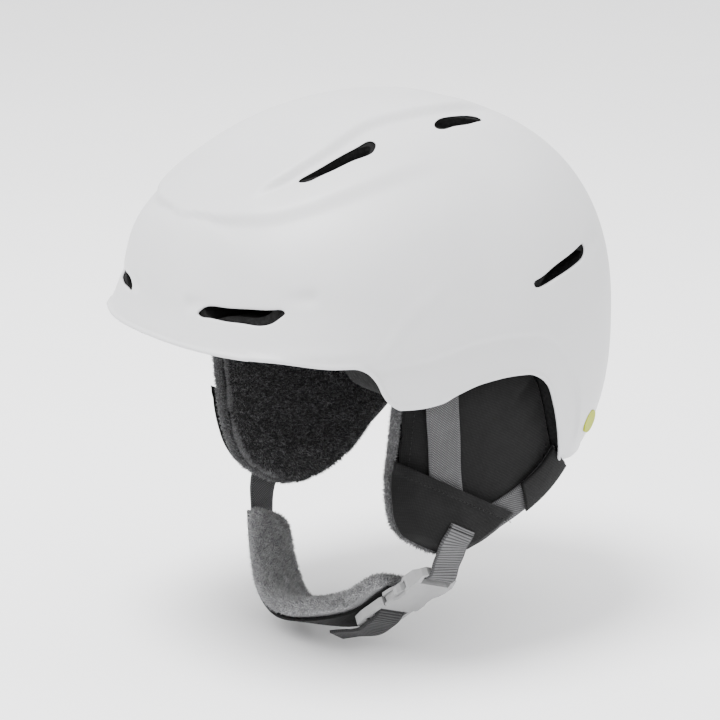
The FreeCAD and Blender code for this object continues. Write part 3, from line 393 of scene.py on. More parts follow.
shell_white = make_shell_finish()
foam_grey = make_foam_finish()
liner_plastic = make_plastic("liner_plastic", 0.012, 0.02, 0.45)
fit_plastic = make_plastic("fit_plastic", 0.018, 0.03, 0.48)
dial_plastic = make_plastic("dial_plastic", 0.022, 0.034, 0.6, 0.05)
buckle_plastic = make_plastic("buckle_plastic", 0.24, 0.29, 0.45)
clip_plastic = make_plastic("clip_plastic", 0.48, 0.54, 0.42)
anchor_rubber = make_plastic("anchor_rubber", 0.015, 0.025, 0.75, 0.05, 0.3)
ear_fabric = make_softshell("ear_fabric")
comfort_fabric = make_softshell("comfort_fabric")
ear_fleece = make_fleece("ear_fleece", 0.006, 0.06, 0.38)
# The lining's own fleece made lighter: painted sheen for the pad's front edge and its roll.
edge_fleece_painted_sheen = make_fleece("edge_fleece_painted_sheen", 0.05, 0.16, 0.42)
chin_fleece = make_fleece("chin_fleece", 0.15, 0.46, 0.85)
webbing_knit = make_webbing("webbing_grey", 0.035, 0.15, "knit")
webbing_ribbed = make_webbing("webbing_ribbed", 0.03, 0.13, "ribs")
webbing_dark = make_webbing("webbing_dark", 0.014, 0.05, "ribs")
pin_steel = make_steel()
badge_yellow = make_badge()


# ---------------------------------------------------------------- the shell's surface

HALF_WIDTH, FRONT_REACH, REAR_REACH = 112.0, 127.5, 138.5
CROWN_HEIGHT, LOWER_REACH, SQUARENESS = 123.7, 123.2, 2.43
CAP_AXES = (135.5, 166.2, 123.8)
CAP_BACK, CAP_TILT, CAP_BLEND = 12.2, math.radians(6.25), 6.2
PEAK_FLARE = 4.2
SHELL_WALL = 2.0

lower_edge = curve_through([
    (-204, 10.0), (-112, 9.7), (-84, 6.1), (-73.6, 5.6), (-67.5, 3.1), (-61.8, -3.1), (-58.3, -10.2),
    (-54.2, -15.3), (-48, -18.9), (-37.8, -19.4), (-25.6, -18.4), (-15.3, -14.8), (0, -11.2),
    (16.4, -10.2), (30.7, -11.2), (38.8, -14.3), (46, -20.4), (52.1, -32.7), (58.3, -47),
    (64.4, -60.3), (71.5, -71.5), (204, -73.6)])


def cap_radius(x, y, z):
    start_y, start_z = -CAP_BACK * math.cos(CAP_TILT), CAP_BACK * math.sin(CAP_TILT)
    along = y * math.cos(CAP_TILT) + z * math.sin(CAP_TILT)
    over = -y * math.sin(CAP_TILT) + z * math.cos(CAP_TILT)
    wide, long, high = CAP_AXES
    a = (x / wide) ** 2 + (along / long) ** 2 + (over / high) ** 2
    b = 2 * (along * start_y / long ** 2 + over * start_z / high ** 2)
    c = (start_y / long) ** 2 + (start_z / high) ** 2 - 1
    return (-b + np.sqrt(b * b - 4 * a * c)) / (2 * a)


def peak_height(x, y, z, radius):
    side = np.arctan2(np.abs(x), -y)
    crease = 30 + 9 * smooth_step((side - 0.1) / 0.8)
    reach = smooth_step((math.radians(70) - side) / math.radians(35))
    below = np.clip((crease - radius * z) / 20, 0.0, 1.3)
    return PEAK_FLARE * reach * below * below * (1.6 - 0.6 * np.minimum(below, 1.0))


def shell_radius(directions):
    """Distance from the origin to the shell's outside along unit directions."""
    x, y, z = np.asarray(directions, float).T
    reach = np.where(y < 0, FRONT_REACH, REAR_REACH)
    height = np.where(z > 0, CROWN_HEIGHT, LOWER_REACH)
    powers = (np.abs(x / HALF_WIDTH) ** SQUARENESS + np.abs(y / reach) ** SQUARENESS
              + np.abs(z / height) ** SQUARENESS)
    body = powers ** (-1 / SQUARENESS)
    cap = cap_radius(x, y, z)
    share = np.clip(0.5 + 0.5 * (cap - body) / CAP_BLEND, 0.0, 1.0)
    radius = cap * (1 - share) + body * share - CAP_BLEND * share * (1 - share)
    peak = np.where((y < 0) & (z * radius < 45), peak_height(x, y, z, radius), 0.0)
    return radius + peak


def direction_at(spot):
    """The map of the shell: distance from the map's middle is the angle from straight up."""
    spot = np.atleast_2d(np.asarray(spot, float))
    tilt = np.hypot(spot[:, 0], spot[:, 1])
    scale = np.sinc(tilt / math.pi)
    return np.stack([spot[:, 0] * scale, spot[:, 1] * scale, np.cos(tilt)], axis=1)


def spot_of(points):
    x, y, z = unit(np.atleast_2d(points)).T
    tilt = np.arccos(np.clip(z, -1, 1))
    flat = np.maximum(np.hypot(x, y), 1e-9)
    return np.stack([x / flat * tilt, y / flat * tilt], axis=1)


def base_surface(spots):
    directions = direction_at(spots)
    return directions * shell_radius(directions)[:, None]


def base_normals(spots):
    step = 1e-3
    east = base_surface(spots + [step, 0]) - base_surface(spots - [step, 0])
    north = base_surface(spots + [0, step]) - base_surface(spots - [0, step])
    normals = unit(np.cross(east, north))
    return normals * np.sign(np.sum(normals * direction_at(spots), axis=1))[:, None]


# Creases and steps pressed into the shell. Lines are places on it, for the wearer's left.

ridge_edge = curve_through([(-95, 37), (-86, 40), (-72, 43.5), (-55, 44), (-38, 41.5), (-21, 38), (4, 37),
                            (24, 35), (48, 30), (70, 26)])
shoulder = curve_through([(-112, 0), (-107, 30), (-101, 43), (-93, 54), (-84, 61), (-73, 67), (-58, 72),
                          (-40, 75.5), (-20, 77), (10, 78)])
ear_step_top = curve_through([(-78, 4), (-70, 7), (-44, 7.5), (-27, 9.5), (-8, 13), (10, 14), (37, 12),
                              (54, 3), (66, -14), (74, -32), (80, -60)])
cheek_fold = curve_through([(-66, 2), (-58, 12), (-46, 26), (-30, 38), (-10, 46)])
RIDGE_STEP, SHELF_STEP, EAR_STEP, FOLD_RISE = 4.2, 3.0, 1.7, 0.5
# Each hollow has two ends, a width and a depth.
HOLLOWS = (((26, -124, 31), (86, -88.5, 41), 6, 1.5), ((104, 24, 28), (84, 94, 49), 8, 1.5),
           ((52, -80, 76), (50, -30, 101), 6, 0.5), ((48, 14, 108), (46, 46, 104), 6, 0.5))


def soft_line(distance, width):
    """1 at the line, 0 beyond its width."""
    return smooth_step(1 - np.abs(distance) / width)


def dent(points, first, last, width, depth):
    """A soft hollow along a line between two places, mirrored."""
    first, last = np.array(first, float), np.array(last, float)
    at = np.abs(points[:, 0])[:, None] * [1, 0, 0] + points * [0, 1, 1]
    run = last - first
    share = np.clip((at - first) @ run / (run @ run), 0, 1)
    away = np.linalg.norm(at - first - share[:, None] * run, axis=1)
    return -depth * smooth_step(1 - away / width)


def pressed(points):
    """How far the shell's outside stands out of the plain surface, in millimetres."""
    x, y, z = np.abs(points[:, 0]), points[:, 1], points[:, 2]
    over = smooth_step((z - 40) / 25)
    inside = ridge_edge(y) - x
    step = smooth_step(0.5 + inside / 5.0) - 0.5
    fade = smooth_step((y + 98) / 22) * smooth_step((74 - y) / 30) * over
    falloff = np.where(inside > 0, np.exp(-(inside / 24) ** 2), np.exp(-(inside / 15) ** 2))
    ridge = RIDGE_STEP * step * falloff * fade
    inside = shoulder(y) - x
    step = smooth_step(0.5 + inside / 9.0) - 0.5
    fade = smooth_step((y + 116) / 8) * smooth_step((12 - y) / 50) * over
    shelf = SHELF_STEP * step * np.exp(-(inside / 17) ** 2) * fade
    under = ear_step_top(y) - z
    fade = smooth_step((y + 74) / 16) * smooth_step((84 - y) / 10)
    ear = -EAR_STEP * smooth_step(under / 4.0) * fade * smooth_step((x - 60) / 20)
    fade = smooth_step((y + 70) / 14) * smooth_step((-12 - y) / 22)
    fold = FOLD_RISE * soft_line(z - cheek_fold(y), 9) * fade
    return ridge + shelf + ear + fold + sum(dent(points, *hollow) for hollow in HOLLOWS)


# ---------------------------------------------------------------- the shell as one closed mesh

# Vent outlines on the wearer's left, drawn flat as seen from above, from the side or from the front.
CROWN_VENT = [(48.5, -72), (48.5, -66.5), (49.5, -57), (49.5, -43), (49, -33.5), (49.5, -27), (52, -26.5),
              (55.5, -29), (57.5, -32), (57, -41.5), (55.5, -54.5), (53.5, -64.5), (52, -69)]
REAR_CROWN_VENT = [(47.5, 15), (44, 20.5), (42, 29.5), (41, 38.5), (41.5, 45.5), (43, 47.5), (45.5, 47),
                   (48.5, 42), (51.5, 33.5), (53.5, 21), (54.5, 14), (53.5, 12), (50.5, 12.5)]
SIDE_VENT = [(35, 36.5), (38, 38), (49.5, 42), (64, 46), (75.5, 49), (80, 49), (80.5, 46.5), (78.5, 43.5),
             (73.5, 41.5), (62.5, 39), (51, 36.5), (42.5, 34.5), (38, 34), (35.5, 35)]
PEAK_VENT = [(33, 27.5), (35, 30), (38.5, 32), (49.5, 33), (63.5, 34), (73.5, 34.7), (77, 34.6), (78, 33.5),
             (77, 31.5), (74.5, 28.5), (72, 27.2), (62.5, 26.8), (50.5, 26.6), (40.5, 26.7), (35, 26.6)]
FROM_ABOVE, FROM_SIDE, FROM_FRONT = "above", "side", "front"
VENTS = ((CROWN_VENT, FROM_ABOVE), (REAR_CROWN_VENT, FROM_ABOVE), (SIDE_VENT, FROM_SIDE),
         (PEAK_VENT, FROM_FRONT))
VENT_POINTS = 72
RIM_POINTS = 620
# The shell's mesh is laid out on a map in radians from the crown.
SPACING, ROW_SHARE = 0.0175, 0.866
MAP_REACH_X, MAP_REACH_Y = 2.4, 2.6
SEARCH_STEPS = 40


def closed_curve(outline, count):
    """Even points on a smooth closed curve through an outline."""
    points = np.array(outline + outline[:3], float)
    points = np.vstack([outline[-3:], points])
    steps = 900
    fine = smooth_route(np.column_stack([points, np.zeros(len(points))]), steps)[:, :2]
    lengths = lengths_along(fine)

    def step_nearest(i, share):
        """The step at a given point; of two equally near, the one closer to a share of the way."""
        away = np.linalg.norm(fine - points[i], axis=1)
        return int(np.argmin(away + abs(np.arange(steps + 1) - steps * share) * 1e-3))

    first, last = step_nearest(3, 0.2), step_nearest(len(outline) + 3, 0.8)
    places = np.linspace(lengths[first], lengths[last], count, endpoint=False)
    return np.column_stack([np.interp(places, lengths, fine[:, i]) for i in (0, 1)])


def stood_out(a, b, out, seen_from):
    """A place on a flat drawing, moved out of the drawing's plane."""
    return {FROM_ABOVE: (a, b, out), FROM_SIDE: (out, a, b), FROM_FRONT: (a, -out, b)}[seen_from]


def on_shell(outline, seen_from):
    """An outline drawn flat, laid onto the shell."""
    found = []
    for a, b in outline:
        low, high = 0.0, 200.0
        for _ in range(SEARCH_STEPS):
            middle = (low + high) / 2
            point = stood_out(a, b, middle, seen_from)
            distance = np.linalg.norm(point)
            if distance < shell_radius([np.array(point) / distance])[0]:
                low = middle
            else:
                high = middle
        found.append(point)
    return np.array(found)


def ring_frames(spots, hole):
    """Points of a ring on the plain surface, its normals, and the way along the surface off the shell."""
    points, normals = base_surface(spots), base_normals(spots)
    along = unit(np.roll(points, -1, axis=0) - np.roll(points, 1, axis=0))
    away = unit(np.cross(along, normals))
    middle = base_surface(spots.mean(axis=0)[None])
    leaves_middle = np.sum(away * (middle - points), axis=1).mean() < 0
    return points, normals, away * (-1.0 if leaves_middle == hole else 1.0)


def edge_spots():
    """The shell's lower edge in the map, found along each heading from the crown."""
    headings = full_turn(RIM_POINTS)
    low, high = np.full(RIM_POINTS, 1.2), np.full(RIM_POINTS, 2.5)
    for _ in range(SEARCH_STEPS):
        middle = (low + high) / 2
        spots = np.column_stack([np.cos(headings) * middle, np.sin(headings) * middle])
        points = base_surface(spots)
        above = points[:, 2] > lower_edge(points[:, 1])
        low, high = np.where(above, middle, low), np.where(above, high, middle)
    spots = np.column_stack([np.cos(headings) * low, np.sin(headings) * low])
    closed = np.vstack([spots, spots[:1]])
    lengths = lengths_along(base_surface(closed))
    places = np.linspace(0, lengths[-1], RIM_POINTS, endpoint=False)
    return np.column_stack([np.interp(places, lengths, closed[:, i]) for i in (0, 1)])


# Sections of the rolled edges: how far past the cut line, and how far out of the plain surface.
EDGE_INSET = 3.4
EDGE_PROFILE = [(-2.6, 0.15), (-1.9, 0.55), (-1.1, 0.7), (-0.45, 0.45), (-0.05, -0.15), (0.0, -0.8),
                (-0.2, -1.5), (-0.8, -1.95), (-1.8, -2.0)]
VENT_INSET = 1.7
VENT_PROFILE = [(-1.1, -0.05), (-0.6, -0.22), (-0.25, -0.5), (-0.05, -0.95), (0.0, -1.5)]


def cut_rings():
    """The lines where the shell is cut, in the map: its lower edge first, then its vents."""
    rings = [(edge_spots(), EDGE_PROFILE, EDGE_INSET)]
    for outline, seen_from in VENTS:
        laid = on_shell(closed_curve(outline, VENT_POINTS), seen_from)
        for side in (LEFT, RIGHT):
            rings.append((spot_of(laid * [side, 1, 1]), VENT_PROFILE, VENT_INSET))
    return rings


def inside_loop(spots, loop):
    """Which spots are inside a closed line."""
    spots, result = np.asarray(spots, float), np.zeros(len(spots), bool)
    for (ax, ay), (bx, by) in zip(loop, np.roll(loop, -1, axis=0)):
        if ay == by:
            continue
        crossing = ((ay > spots[:, 1]) != (by > spots[:, 1])) & (
            spots[:, 0] < (bx - ax) * (spots[:, 1] - ay) / (by - ay) + ax)
        result ^= crossing
    return result


def between(spots, loops):
    """Which spots are inside the first line and outside all others."""
    keep = inside_loop(spots, loops[0])
    for loop in loops[1:]:
        keep &= ~inside_loop(spots, loop)
    return keep


def nearest_distance(spots, others):
    """Distance from each spot to the nearest of the others, in blocks."""
    found = np.empty(len(spots))
    for start in range(0, len(spots), 2000):
        block = spots[start:start + 2000]
        found[start:start + 2000] = np.sqrt(((block[:, None] - others[None]) ** 2).sum(axis=2)).min(axis=1)
    return found


def even_grid(loops):
    """Evenly spaced spots in rows, between the lines and clear of them."""
    rows = int(MAP_REACH_Y / (SPACING * ROW_SHARE))
    grid = []
    for row in range(-rows, rows + 1):
        y = row * SPACING * ROW_SHARE
        shift = 0.5 * SPACING if row % 2 else 0.0
        x = np.arange(-MAP_REACH_X, MAP_REACH_X, SPACING) + shift
        grid.append(np.column_stack([x, np.full(len(x), y)]))
    grid = np.vstack(grid)
    grid = grid[between(grid, loops)]
    return grid[nearest_distance(grid, np.vstack(loops)) > SPACING * 0.6]


def triangulated(outlines):
    """Even triangles between the outlines, and the numbers of each outline's own spots."""
    points = np.vstack(outlines + [even_grid(outlines)]).tolist()
    loops, edges, first = [], [], 0
    for outline in outlines:
        numbers = list(range(first, first + len(outline)))
        edges += list(zip(numbers, numbers[1:] + numbers[:1]))
        loops.append(numbers)
        first += len(outline)
    made = geometry.delaunay_2d_cdt([Vector(point) for point in points], edges, [], 0, 1e-7, True)
    spots, triangles = np.array([tuple(spot) for spot in made[0]]), np.array(made[2])
    new_number = {old: new for new, all_old in enumerate(made[3]) for old in all_old}
    loops = [[new_number[i] for i in loop] for loop in loops]
    triangles = triangles[between(spots[triangles].mean(axis=1), [spots[loop] for loop in loops])]
    a, b, c = (spots[triangles[:, i]] for i in range(3))
    clockwise = (b - a)[:, 0] * (c - a)[:, 1] - (b - a)[:, 1] * (c - a)[:, 0] < 0
    triangles[clockwise] = triangles[clockwise][:, ::-1]
    return spots, triangles, loops


def build_shell():
    """Outside, rolled edges and vent walls, and an inside that follows the plain surface."""
    rings = cut_rings()
    frames = [ring_frames(spots, hole=i > 0) for i, (spots, _, _) in enumerate(rings)]
    outlines = [spot_of(place - away * inset) for (place, _, away), (_, _, inset) in zip(frames, rings)]
    spots, triangles, loops = triangulated(outlines)
    plain, normals = base_surface(spots), base_normals(spots)
    count = len(spots)
    points = [plain + normals * pressed(plain)[:, None], plain - normals * SHELL_WALL]
    faces = [tuple(corners) for corners in triangles]
    faces += [tuple(corners[::-1] + count) for corners in triangles]
    total = 2 * count
    for loop, (place, ring_normals, away), (_, profile, _) in zip(loops, frames, rings):
        before, lift = loop, pressed(place)
        for step, (past, out) in enumerate(profile):
            share = step / (len(profile) - 1)
            points.append(place + away * past + ring_normals * (out + lift * (1 - share))[:, None])
            numbers = list(range(total, total + len(place)))
            faces += bridge(before, numbers)
            before, total = numbers, total + len(place)
        faces += bridge(before, [i + count for i in loop])
    shell = mesh_piece("shell_skin", np.vstack(points), faces, shell_white, "shell")
    fix_normals(shell)
    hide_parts("outer_shell")


# ---------------------------------------------------------------- ear pads

pad_face_at_middle = curve_through([(-118, 77), (-112, 79.5), (-95, 85), (-75, 90), (-60, 92.5),
                                    (-35, 97), (-15, 100), (0, 101)])
pad_front = curve_through([(-116, 6), (-112, -1), (-108, -9), (-102, -20), (-94, -31), (-80, -38),
                           (-60, -41), (0, -41)])
pad_rear = curve_through([(-116, 8), (-112, 14), (-108, 25), (-96, 45), (-82, 59), (-73, 67.5), (-60, 70),
                          (-45, 69), (-25, 66), (0, 62)])
pad_thickness = curve_through([(-115, 6), (-112, 9), (-108, 14), (-100, 18), (-85, 21), (-40, 22), (0, 22)])
PAD_BEND, PAD_MIDDLE = 0.0022, 8.0
STRAP_LIFT, OVER_LIFT = 1.4, 3.6
CLOTH_STEPS = 14
CLOTH_SETTINGS = {"use_pressure": True, "quality": 5, "mass": 0.3, "tension_stiffness": 25,
                  "bending_stiffness": 0.6}
TUFT_LEAN = 0.75
FRONT_ROLL_POINTS, FRONT_ROLL_RADIUS = 150, 2.2
SLIT_LIP_RADIUS = 0.55


def pad_face(y, z):
    """How far out the left pad's outer face is."""
    return pad_face_at_middle(z) - PAD_BEND * (y - PAD_MIDDLE) ** 2


def lifted(y, z, lift):
    """Points that stand off the left pad's outer face by a lift."""
    return np.stack([pad_face(y, z) + lift, y, z], axis=-1)


def skin(rings):
    """A closed mesh over rings of points, from the first to the last, with rounded ends."""
    count = len(rings[0])
    points = np.vstack(rings + [rings[0].mean(axis=0)[None], rings[-1].mean(axis=0)[None]])
    numbers = [list(range(i * count, (i + 1) * count)) for i in range(len(rings))]
    faces = [face for first, second in zip(numbers, numbers[1:]) for face in bridge(first, second)]
    low, high = len(points) - 2, len(points) - 1
    faces += [(numbers[0][(i + 1) % count], numbers[0][i], low) for i in range(count)]
    faces += [(numbers[-1][i], numbers[-1][(i + 1) % count], high) for i in range(count)]
    return points, faces


def pad_slab(inner, outer, front_margin, rear_reach, squareness, taper):
    """Rings of a soft slab between two shares of the ear pad's thickness. Its front edge leans back."""
    rings = []
    for level in np.concatenate([np.linspace(-111.6, -100, 9), np.linspace(-97.5, 2, 36)]):
        closing = math.sqrt(max(0.0, 1 - max(0.0, (-105 - level) / 7.2) ** 2))
        first = pad_front(level) + front_margin
        last = pad_rear(level) - 1.0 + rear_reach * float(smooth_step((level + 76) / 16))
        middle, half = (first + last) / 2, (last - first) / 2 * (0.35 + 0.65 * closing)
        turn = full_turn(72)
        along, through = squared(np.cos(turn), squareness), squared(np.sin(turn), squareness)
        y = middle + half * along
        depth_in, depth_out = inner * pad_thickness(level), outer * pad_thickness(level)
        share = (depth_in - depth_out) / 2 * (0.3 + 0.7 * closing)
        depth = (depth_in + depth_out) / 2 - share * through
        y = y + taper * (depth - depth_out) * (last - y) / (last - first)
        rings.append(lifted(y, np.full(len(y), level), -depth))
    return rings


def evaluated(piece):
    """The piece's mesh with its modifiers applied."""
    graph = bpy.context.evaluated_depsgraph_get()
    mesh = bpy.data.meshes.new_from_object(piece.evaluated_get(graph))
    piece.modifiers.clear()
    piece.data = mesh
    return piece


def loose_object(name, points, faces):
    """An object that rides on nothing yet."""
    made = in_scene(bpy.data.objects.new(name, plain_mesh(name, points, faces)))
    fix_normals(made)
    return made


def vertices_of(piece):
    places = np.empty(len(piece.data.vertices) * 3)
    piece.data.vertices.foreach_get("co", places)
    return places.reshape(-1, 3)


def stuffed(piece, voxel, cap, pressure, pinned=None):
    """A soft piece blown up by cloth simulation: no point moves further than the cap, in millimetres."""
    remesh = piece.modifiers.new("even", "REMESH")
    remesh.mode = "VOXEL"
    remesh.voxel_size = voxel * MM
    evaluated(piece)
    start = vertices_of(piece)
    cloth = piece.modifiers.new("stuffing", "CLOTH")
    for setting, value in CLOTH_SETTINGS.items():
        setattr(cloth.settings, setting, value)
    cloth.settings.uniform_pressure_force = pressure
    cloth.settings.effector_weights.gravity = 0
    cloth.point_cache.frame_end = CLOTH_STEPS
    if pinned is not None:
        group = piece.vertex_groups.new(name="held")
        group.add(np.flatnonzero(pinned(start / MM)).tolist(), 1.0, "REPLACE")
        cloth.settings.vertex_group_mass = "held"
    for step in range(1, CLOTH_STEPS + 1):
        bpy.context.scene.frame_set(step)
    evaluated(piece)
    bpy.context.scene.frame_set(1)
    moved = vertices_of(piece) - start
    far = np.linalg.norm(moved, axis=1, keepdims=True)
    moved *= np.minimum(1.0, cap * MM / np.maximum(far, 1e-9))
    piece.data.vertices.foreach_set("co", (start + moved).ravel())
    soft = piece.modifiers.new("soft", "SMOOTH")
    soft.iterations = 3
    soft.factor = 0.5
    finer = piece.modifiers.new("finer", "SUBSURF")
    finer.levels = finer.render_levels = 1
    return evaluated(piece)


def dressed(piece, material, body, cad_node):
    """Gives a finished soft object its material and its body, and hides the CAD part that it stands for."""
    piece.data.materials.clear()
    shade_smooth(piece.data, material)
    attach(piece, body)
    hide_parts(cad_node)


def mirror_of(piece, name):
    """The same mesh on the wearer's right."""
    copy = bpy.data.objects.new(name, piece.data.copy())
    copy.data.transform(Matrix.Diagonal((-1, 1, 1, 1)))
    copy.data.flip_normals()
    return in_scene(copy)


def above_pad_block():
    """Everything above the shell's lower edge, for trimming what tucks up under it."""
    y = np.linspace(-140, 110, 126)
    z = lower_edge(y) + 1.6
    section = list(zip(y, z)) + [(110, 60), (-140, 60)]
    points = [(x, a, b) for x in (20, 160) for a, b in section]
    count = len(section)
    faces = [tuple(range(count)), tuple(range(2 * count - 1, count - 1, -1))]
    faces += bridge(list(range(count)), list(range(count, 2 * count)))
    return loose_object("trim", points, faces)


def trimmed(piece, block):
    cut = piece.modifiers.new("trim", "BOOLEAN")
    cut.operation = "DIFFERENCE"
    cut.solver = "EXACT"
    cut.object = block
    return evaluated(piece)


def surface_samples(piece, count, seed, keep):
    """Random places on a piece's faces, even by area, with the faces' normals, in millimetres."""
    mesh = piece.data
    mesh.calc_loop_triangles()
    triangles = np.empty(len(mesh.loop_triangles) * 3, np.int32)
    mesh.loop_triangles.foreach_get("vertices", triangles)
    corners = (vertices_of(piece) / MM)[triangles.reshape(-1, 3)]
    normals = np.cross(corners[:, 1] - corners[:, 0], corners[:, 2] - corners[:, 0])
    areas = np.linalg.norm(normals, axis=1)
    normals = unit(normals)
    chosen = keep(corners.mean(axis=1), normals)
    weights = np.where(chosen, areas, 0.0)
    random = np.random.default_rng(seed)
    picked = random.choice(len(areas), count, p=weights / weights.sum())
    u, v = random.random((2, count))
    over = u + v > 1
    u, v = np.where(over, 1 - u, u), np.where(over, 1 - v, v)
    a, b, c = (corners[picked, i] for i in range(3))
    return a + (b - a) * u[:, None] + (c - a) * v[:, None], normals[picked], random


def add_pile(name, piece, material, body, slot, keep, count, seed, length, root):
    """Fleece tufts: small closed spikes that stand in all directions."""
    places, normals, random = surface_samples(piece, count, seed, keep)
    tilt = random.normal(size=(count, 3)) * TUFT_LEAN
    aims = unit(normals + tilt * 0.8)
    sides = unit(np.cross(aims, random.normal(size=(count, 3))))
    across = np.cross(aims, sides)
    reach = length * (0.6 + 0.8 * random.random((count, 1)))
    shades = random.random(count) ** 1.5
    corners = []
    for turn in full_turn(3):
        corners.append(places - normals * 0.25 + (sides * math.cos(turn) + across * math.sin(turn)) * root)
    curl = unit(random.normal(size=(count, 3))) * 0.35
    corners.append(places + aims * reach + curl)
    points = np.stack(corners, axis=1).reshape(-1, 3)
    start = np.arange(count)[:, None] * 4
    sides_and_root = ((0, 1, 3), (1, 2, 3), (2, 0, 3), (2, 1, 0))
    faces = np.concatenate([start + np.array(face) for face in sides_and_root], axis=0)
    pile = mesh_piece(name, points, faces, material, body)
    layer = pile.data.attributes.new("tuft", "FLOAT", "POINT")
    values = np.repeat(shades[:, None] * 0.75, 4, axis=1)
    values[:, 3] += 0.25
    layer.data.foreach_set("value", values.ravel().astype(np.float32))
    return pile


def thread(name, route, normals, length=2.1, gap=1.0, width=0.34):
    """A row of stitches along a route."""
    lengths = lengths_along(route)
    points, faces = [], []
    section = [(math.cos(turn), math.sin(turn)) for turn in full_turn(6)]
    for start in np.arange(0.3, lengths[-1] - length, length + gap):
        rings = []
        for share, size in ((0.0, 0.25), (0.15, 0.85), (0.5, 1.0), (0.85, 0.85), (1.0, 0.25)):
            place = start + length * share
            at = np.array([np.interp(place, lengths, route[:, i]) for i in range(3)])
            ahead = np.array([np.interp(place + 0.3, lengths, route[:, i]) for i in range(3)])
            up = unit(np.array([np.interp(place, lengths, normals[:, i]) for i in range(3)]))
            run = unit(ahead - at)
            side = np.cross(run, up)
            middle = at + up * (0.12 * math.sin(math.pi * share) - 0.02)
            rings.append(np.array([middle + (side * a + up * b * 0.7) * width * size for a, b in section]))
        made, found = skin(rings)
        offset = len(points)
        points += made.tolist()
        faces += [tuple(i + offset for i in face) for face in found]
    piece = mesh_piece(name, points, faces, ear_fabric, "shell")
    fix_normals(piece)


def tube(name, route, radius, material, sides):
    """A round roll along a seam, closed at its ends."""
    run = unit(np.gradient(route, axis=0))
    first = unit(np.cross(run, [0.3, 0.1, 1.0]))
    second = np.cross(run, first)
    rings = []
    for at, a, b, share in zip(route, first, second, np.linspace(0, 1, len(route))):
        size = radius * min(1.0, math.sqrt(max(0.02, min(share, 1 - share) * 20)))
        rings.append(np.array([at + (a * math.cos(turn) + b * math.sin(turn)) * size
                               for turn in full_turn(sides)]))
    points, faces = skin(rings)
    piece = mesh_piece(name, points, faces, material, "shell")
    fix_normals(piece)
    return piece


def pad_outline(margin, depth_share, levels=(-109.5, 0)):
    """A line round the pad: down its front edge, round the bottom and up the rear."""
    heights = np.linspace(levels[1], levels[0], 60)
    front = [(pad_front(z) + margin, z) for z in heights]
    rear = [(pad_rear(z) - margin, z) for z in heights[::-1]]
    bottom = (pad_front(levels[0]) + pad_rear(levels[0])) / 2, levels[0] - 1.2 + margin * 0.4
    flat = np.array([p for p in front + [bottom] + rear if p[1] < lower_edge(p[0]) + 1.0])
    flat = np.column_stack([flat, np.zeros(len(flat))])
    flat = smooth_route(flat[::4], 220)
    y, z = flat[:, 0], flat[:, 1]
    return lifted(y, z, -depth_share * pad_thickness(z))


def under_shell(centres, margin):
    return centres[:, 2] > lower_edge(centres[:, 1]) - margin


def build_ear_pads():
    """Swollen cover and lining, the fleece on the lining and a fleece roll along the front edge, made lighter
    with painted sheen.
    """
    def tucked_up(points):
        return points[:, 2] > -6

    block = above_pad_block()
    cover_rings = pad_slab(inner=0.27, outer=0.04, front_margin=1.6, rear_reach=4.0,
                           squareness=0.5, taper=0.4)
    cover = stuffed(loose_object("ear_cover_left", *skin(cover_rings)),
                    voxel=3.0, cap=1.1, pressure=3.0, pinned=tucked_up)
    cover = trimmed(cover, block)
    lining_rings = pad_slab(inner=0.94, outer=0.26, front_margin=0.8, rear_reach=9.0,
                            squareness=0.6, taper=0.62)
    lining = stuffed(loose_object("ear_lining_left", *skin(lining_rings)),
                     voxel=3.0, cap=1.5, pressure=4.0, pinned=tucked_up)
    lining = trimmed(lining, block)
    bpy.data.objects.remove(block)
    pieces = {LEFT: (cover, lining)}
    pieces[RIGHT] = (mirror_of(cover, "ear_cover_right"), mirror_of(lining, "ear_lining_right"))
    for side, word in SIDES:
        cover, lining = pieces[side]
        dressed(cover, ear_fabric, "shell", "ear_pad_cover_" + word)
        dressed(lining, ear_fleece, "shell", "ear_pad_lining_" + word)
        add_ear_fleece(side, word, lining)
        seam = pad_outline(9.0, 0.0, (-100, 0)) * [side, 1, 1] + [side * 0.15, 0, 0]
        out = np.tile([side * 1.0, 0.0, 0.0], (len(seam), 1))
        thread("ear_stitches_" + word, seam, out)


def add_ear_fleece(side, word, lining):
    """Dark pile over the lining, and pile made lighter with painted sheen on its front edge and on the roll
    there.
    """
    def inner_face(centres, normals):
        return ~under_shell(centres, 1.5) & (normals[:, 0] * side < 0.75)

    def front_edge(centres, normals):
        near = centres[:, 1] < pad_front(centres[:, 2]) + 6.5
        return ~under_shell(centres, 2.0) & near & (normals[:, 1] < 0.35)

    def in_sight(centres, _):
        return ~under_shell(centres, 1.0)

    worn = ("shell", "ear_fleece")
    add_pile("ear_pile_" + word, lining, ear_fleece, *worn, inner_face,
             count=32000, seed=11, length=1.9, root=0.32)
    # Painted sheen: lighter pile along the front edge.
    add_pile("ear_edge_pile_" + word, lining, edge_fleece_painted_sheen, *worn, front_edge,
             count=9000, seed=12, length=1.9, root=0.28)
    rim = pad_outline(2.6, 0.27)[:FRONT_ROLL_POINTS] * np.array([side, 1, 1])
    roll = tube("ear_edge_" + word, rim, FRONT_ROLL_RADIUS, edge_fleece_painted_sheen, sides=10)
    add_pile("ear_edge_tufts_" + word, roll, edge_fleece_painted_sheen, *worn, in_sight,
             count=7000, seed=14, length=1.5, root=0.26)


# ---------------------------------------------------------------- straps

FRONT_STRAP = [(-18.6, -11.4), (-16.2, -28), (-13.6, -42), (-11.2, -57), (-8.3, -72), (-3.5, -85), (1, -92)]
REAR_STRAP = [(72.6, -67.7), (65, -75), (54.5, -82.5), (42, -88.5), (26, -94.5)]
SLEEVE = [(71.2, -68.4), (61, -78), (46, -86.3)]
WEB_WIDTH, WEB_THICK = 19.0, 1.6
SLEEVE_WIDTH, SLEEVE_THICK = 21.6, 1.5


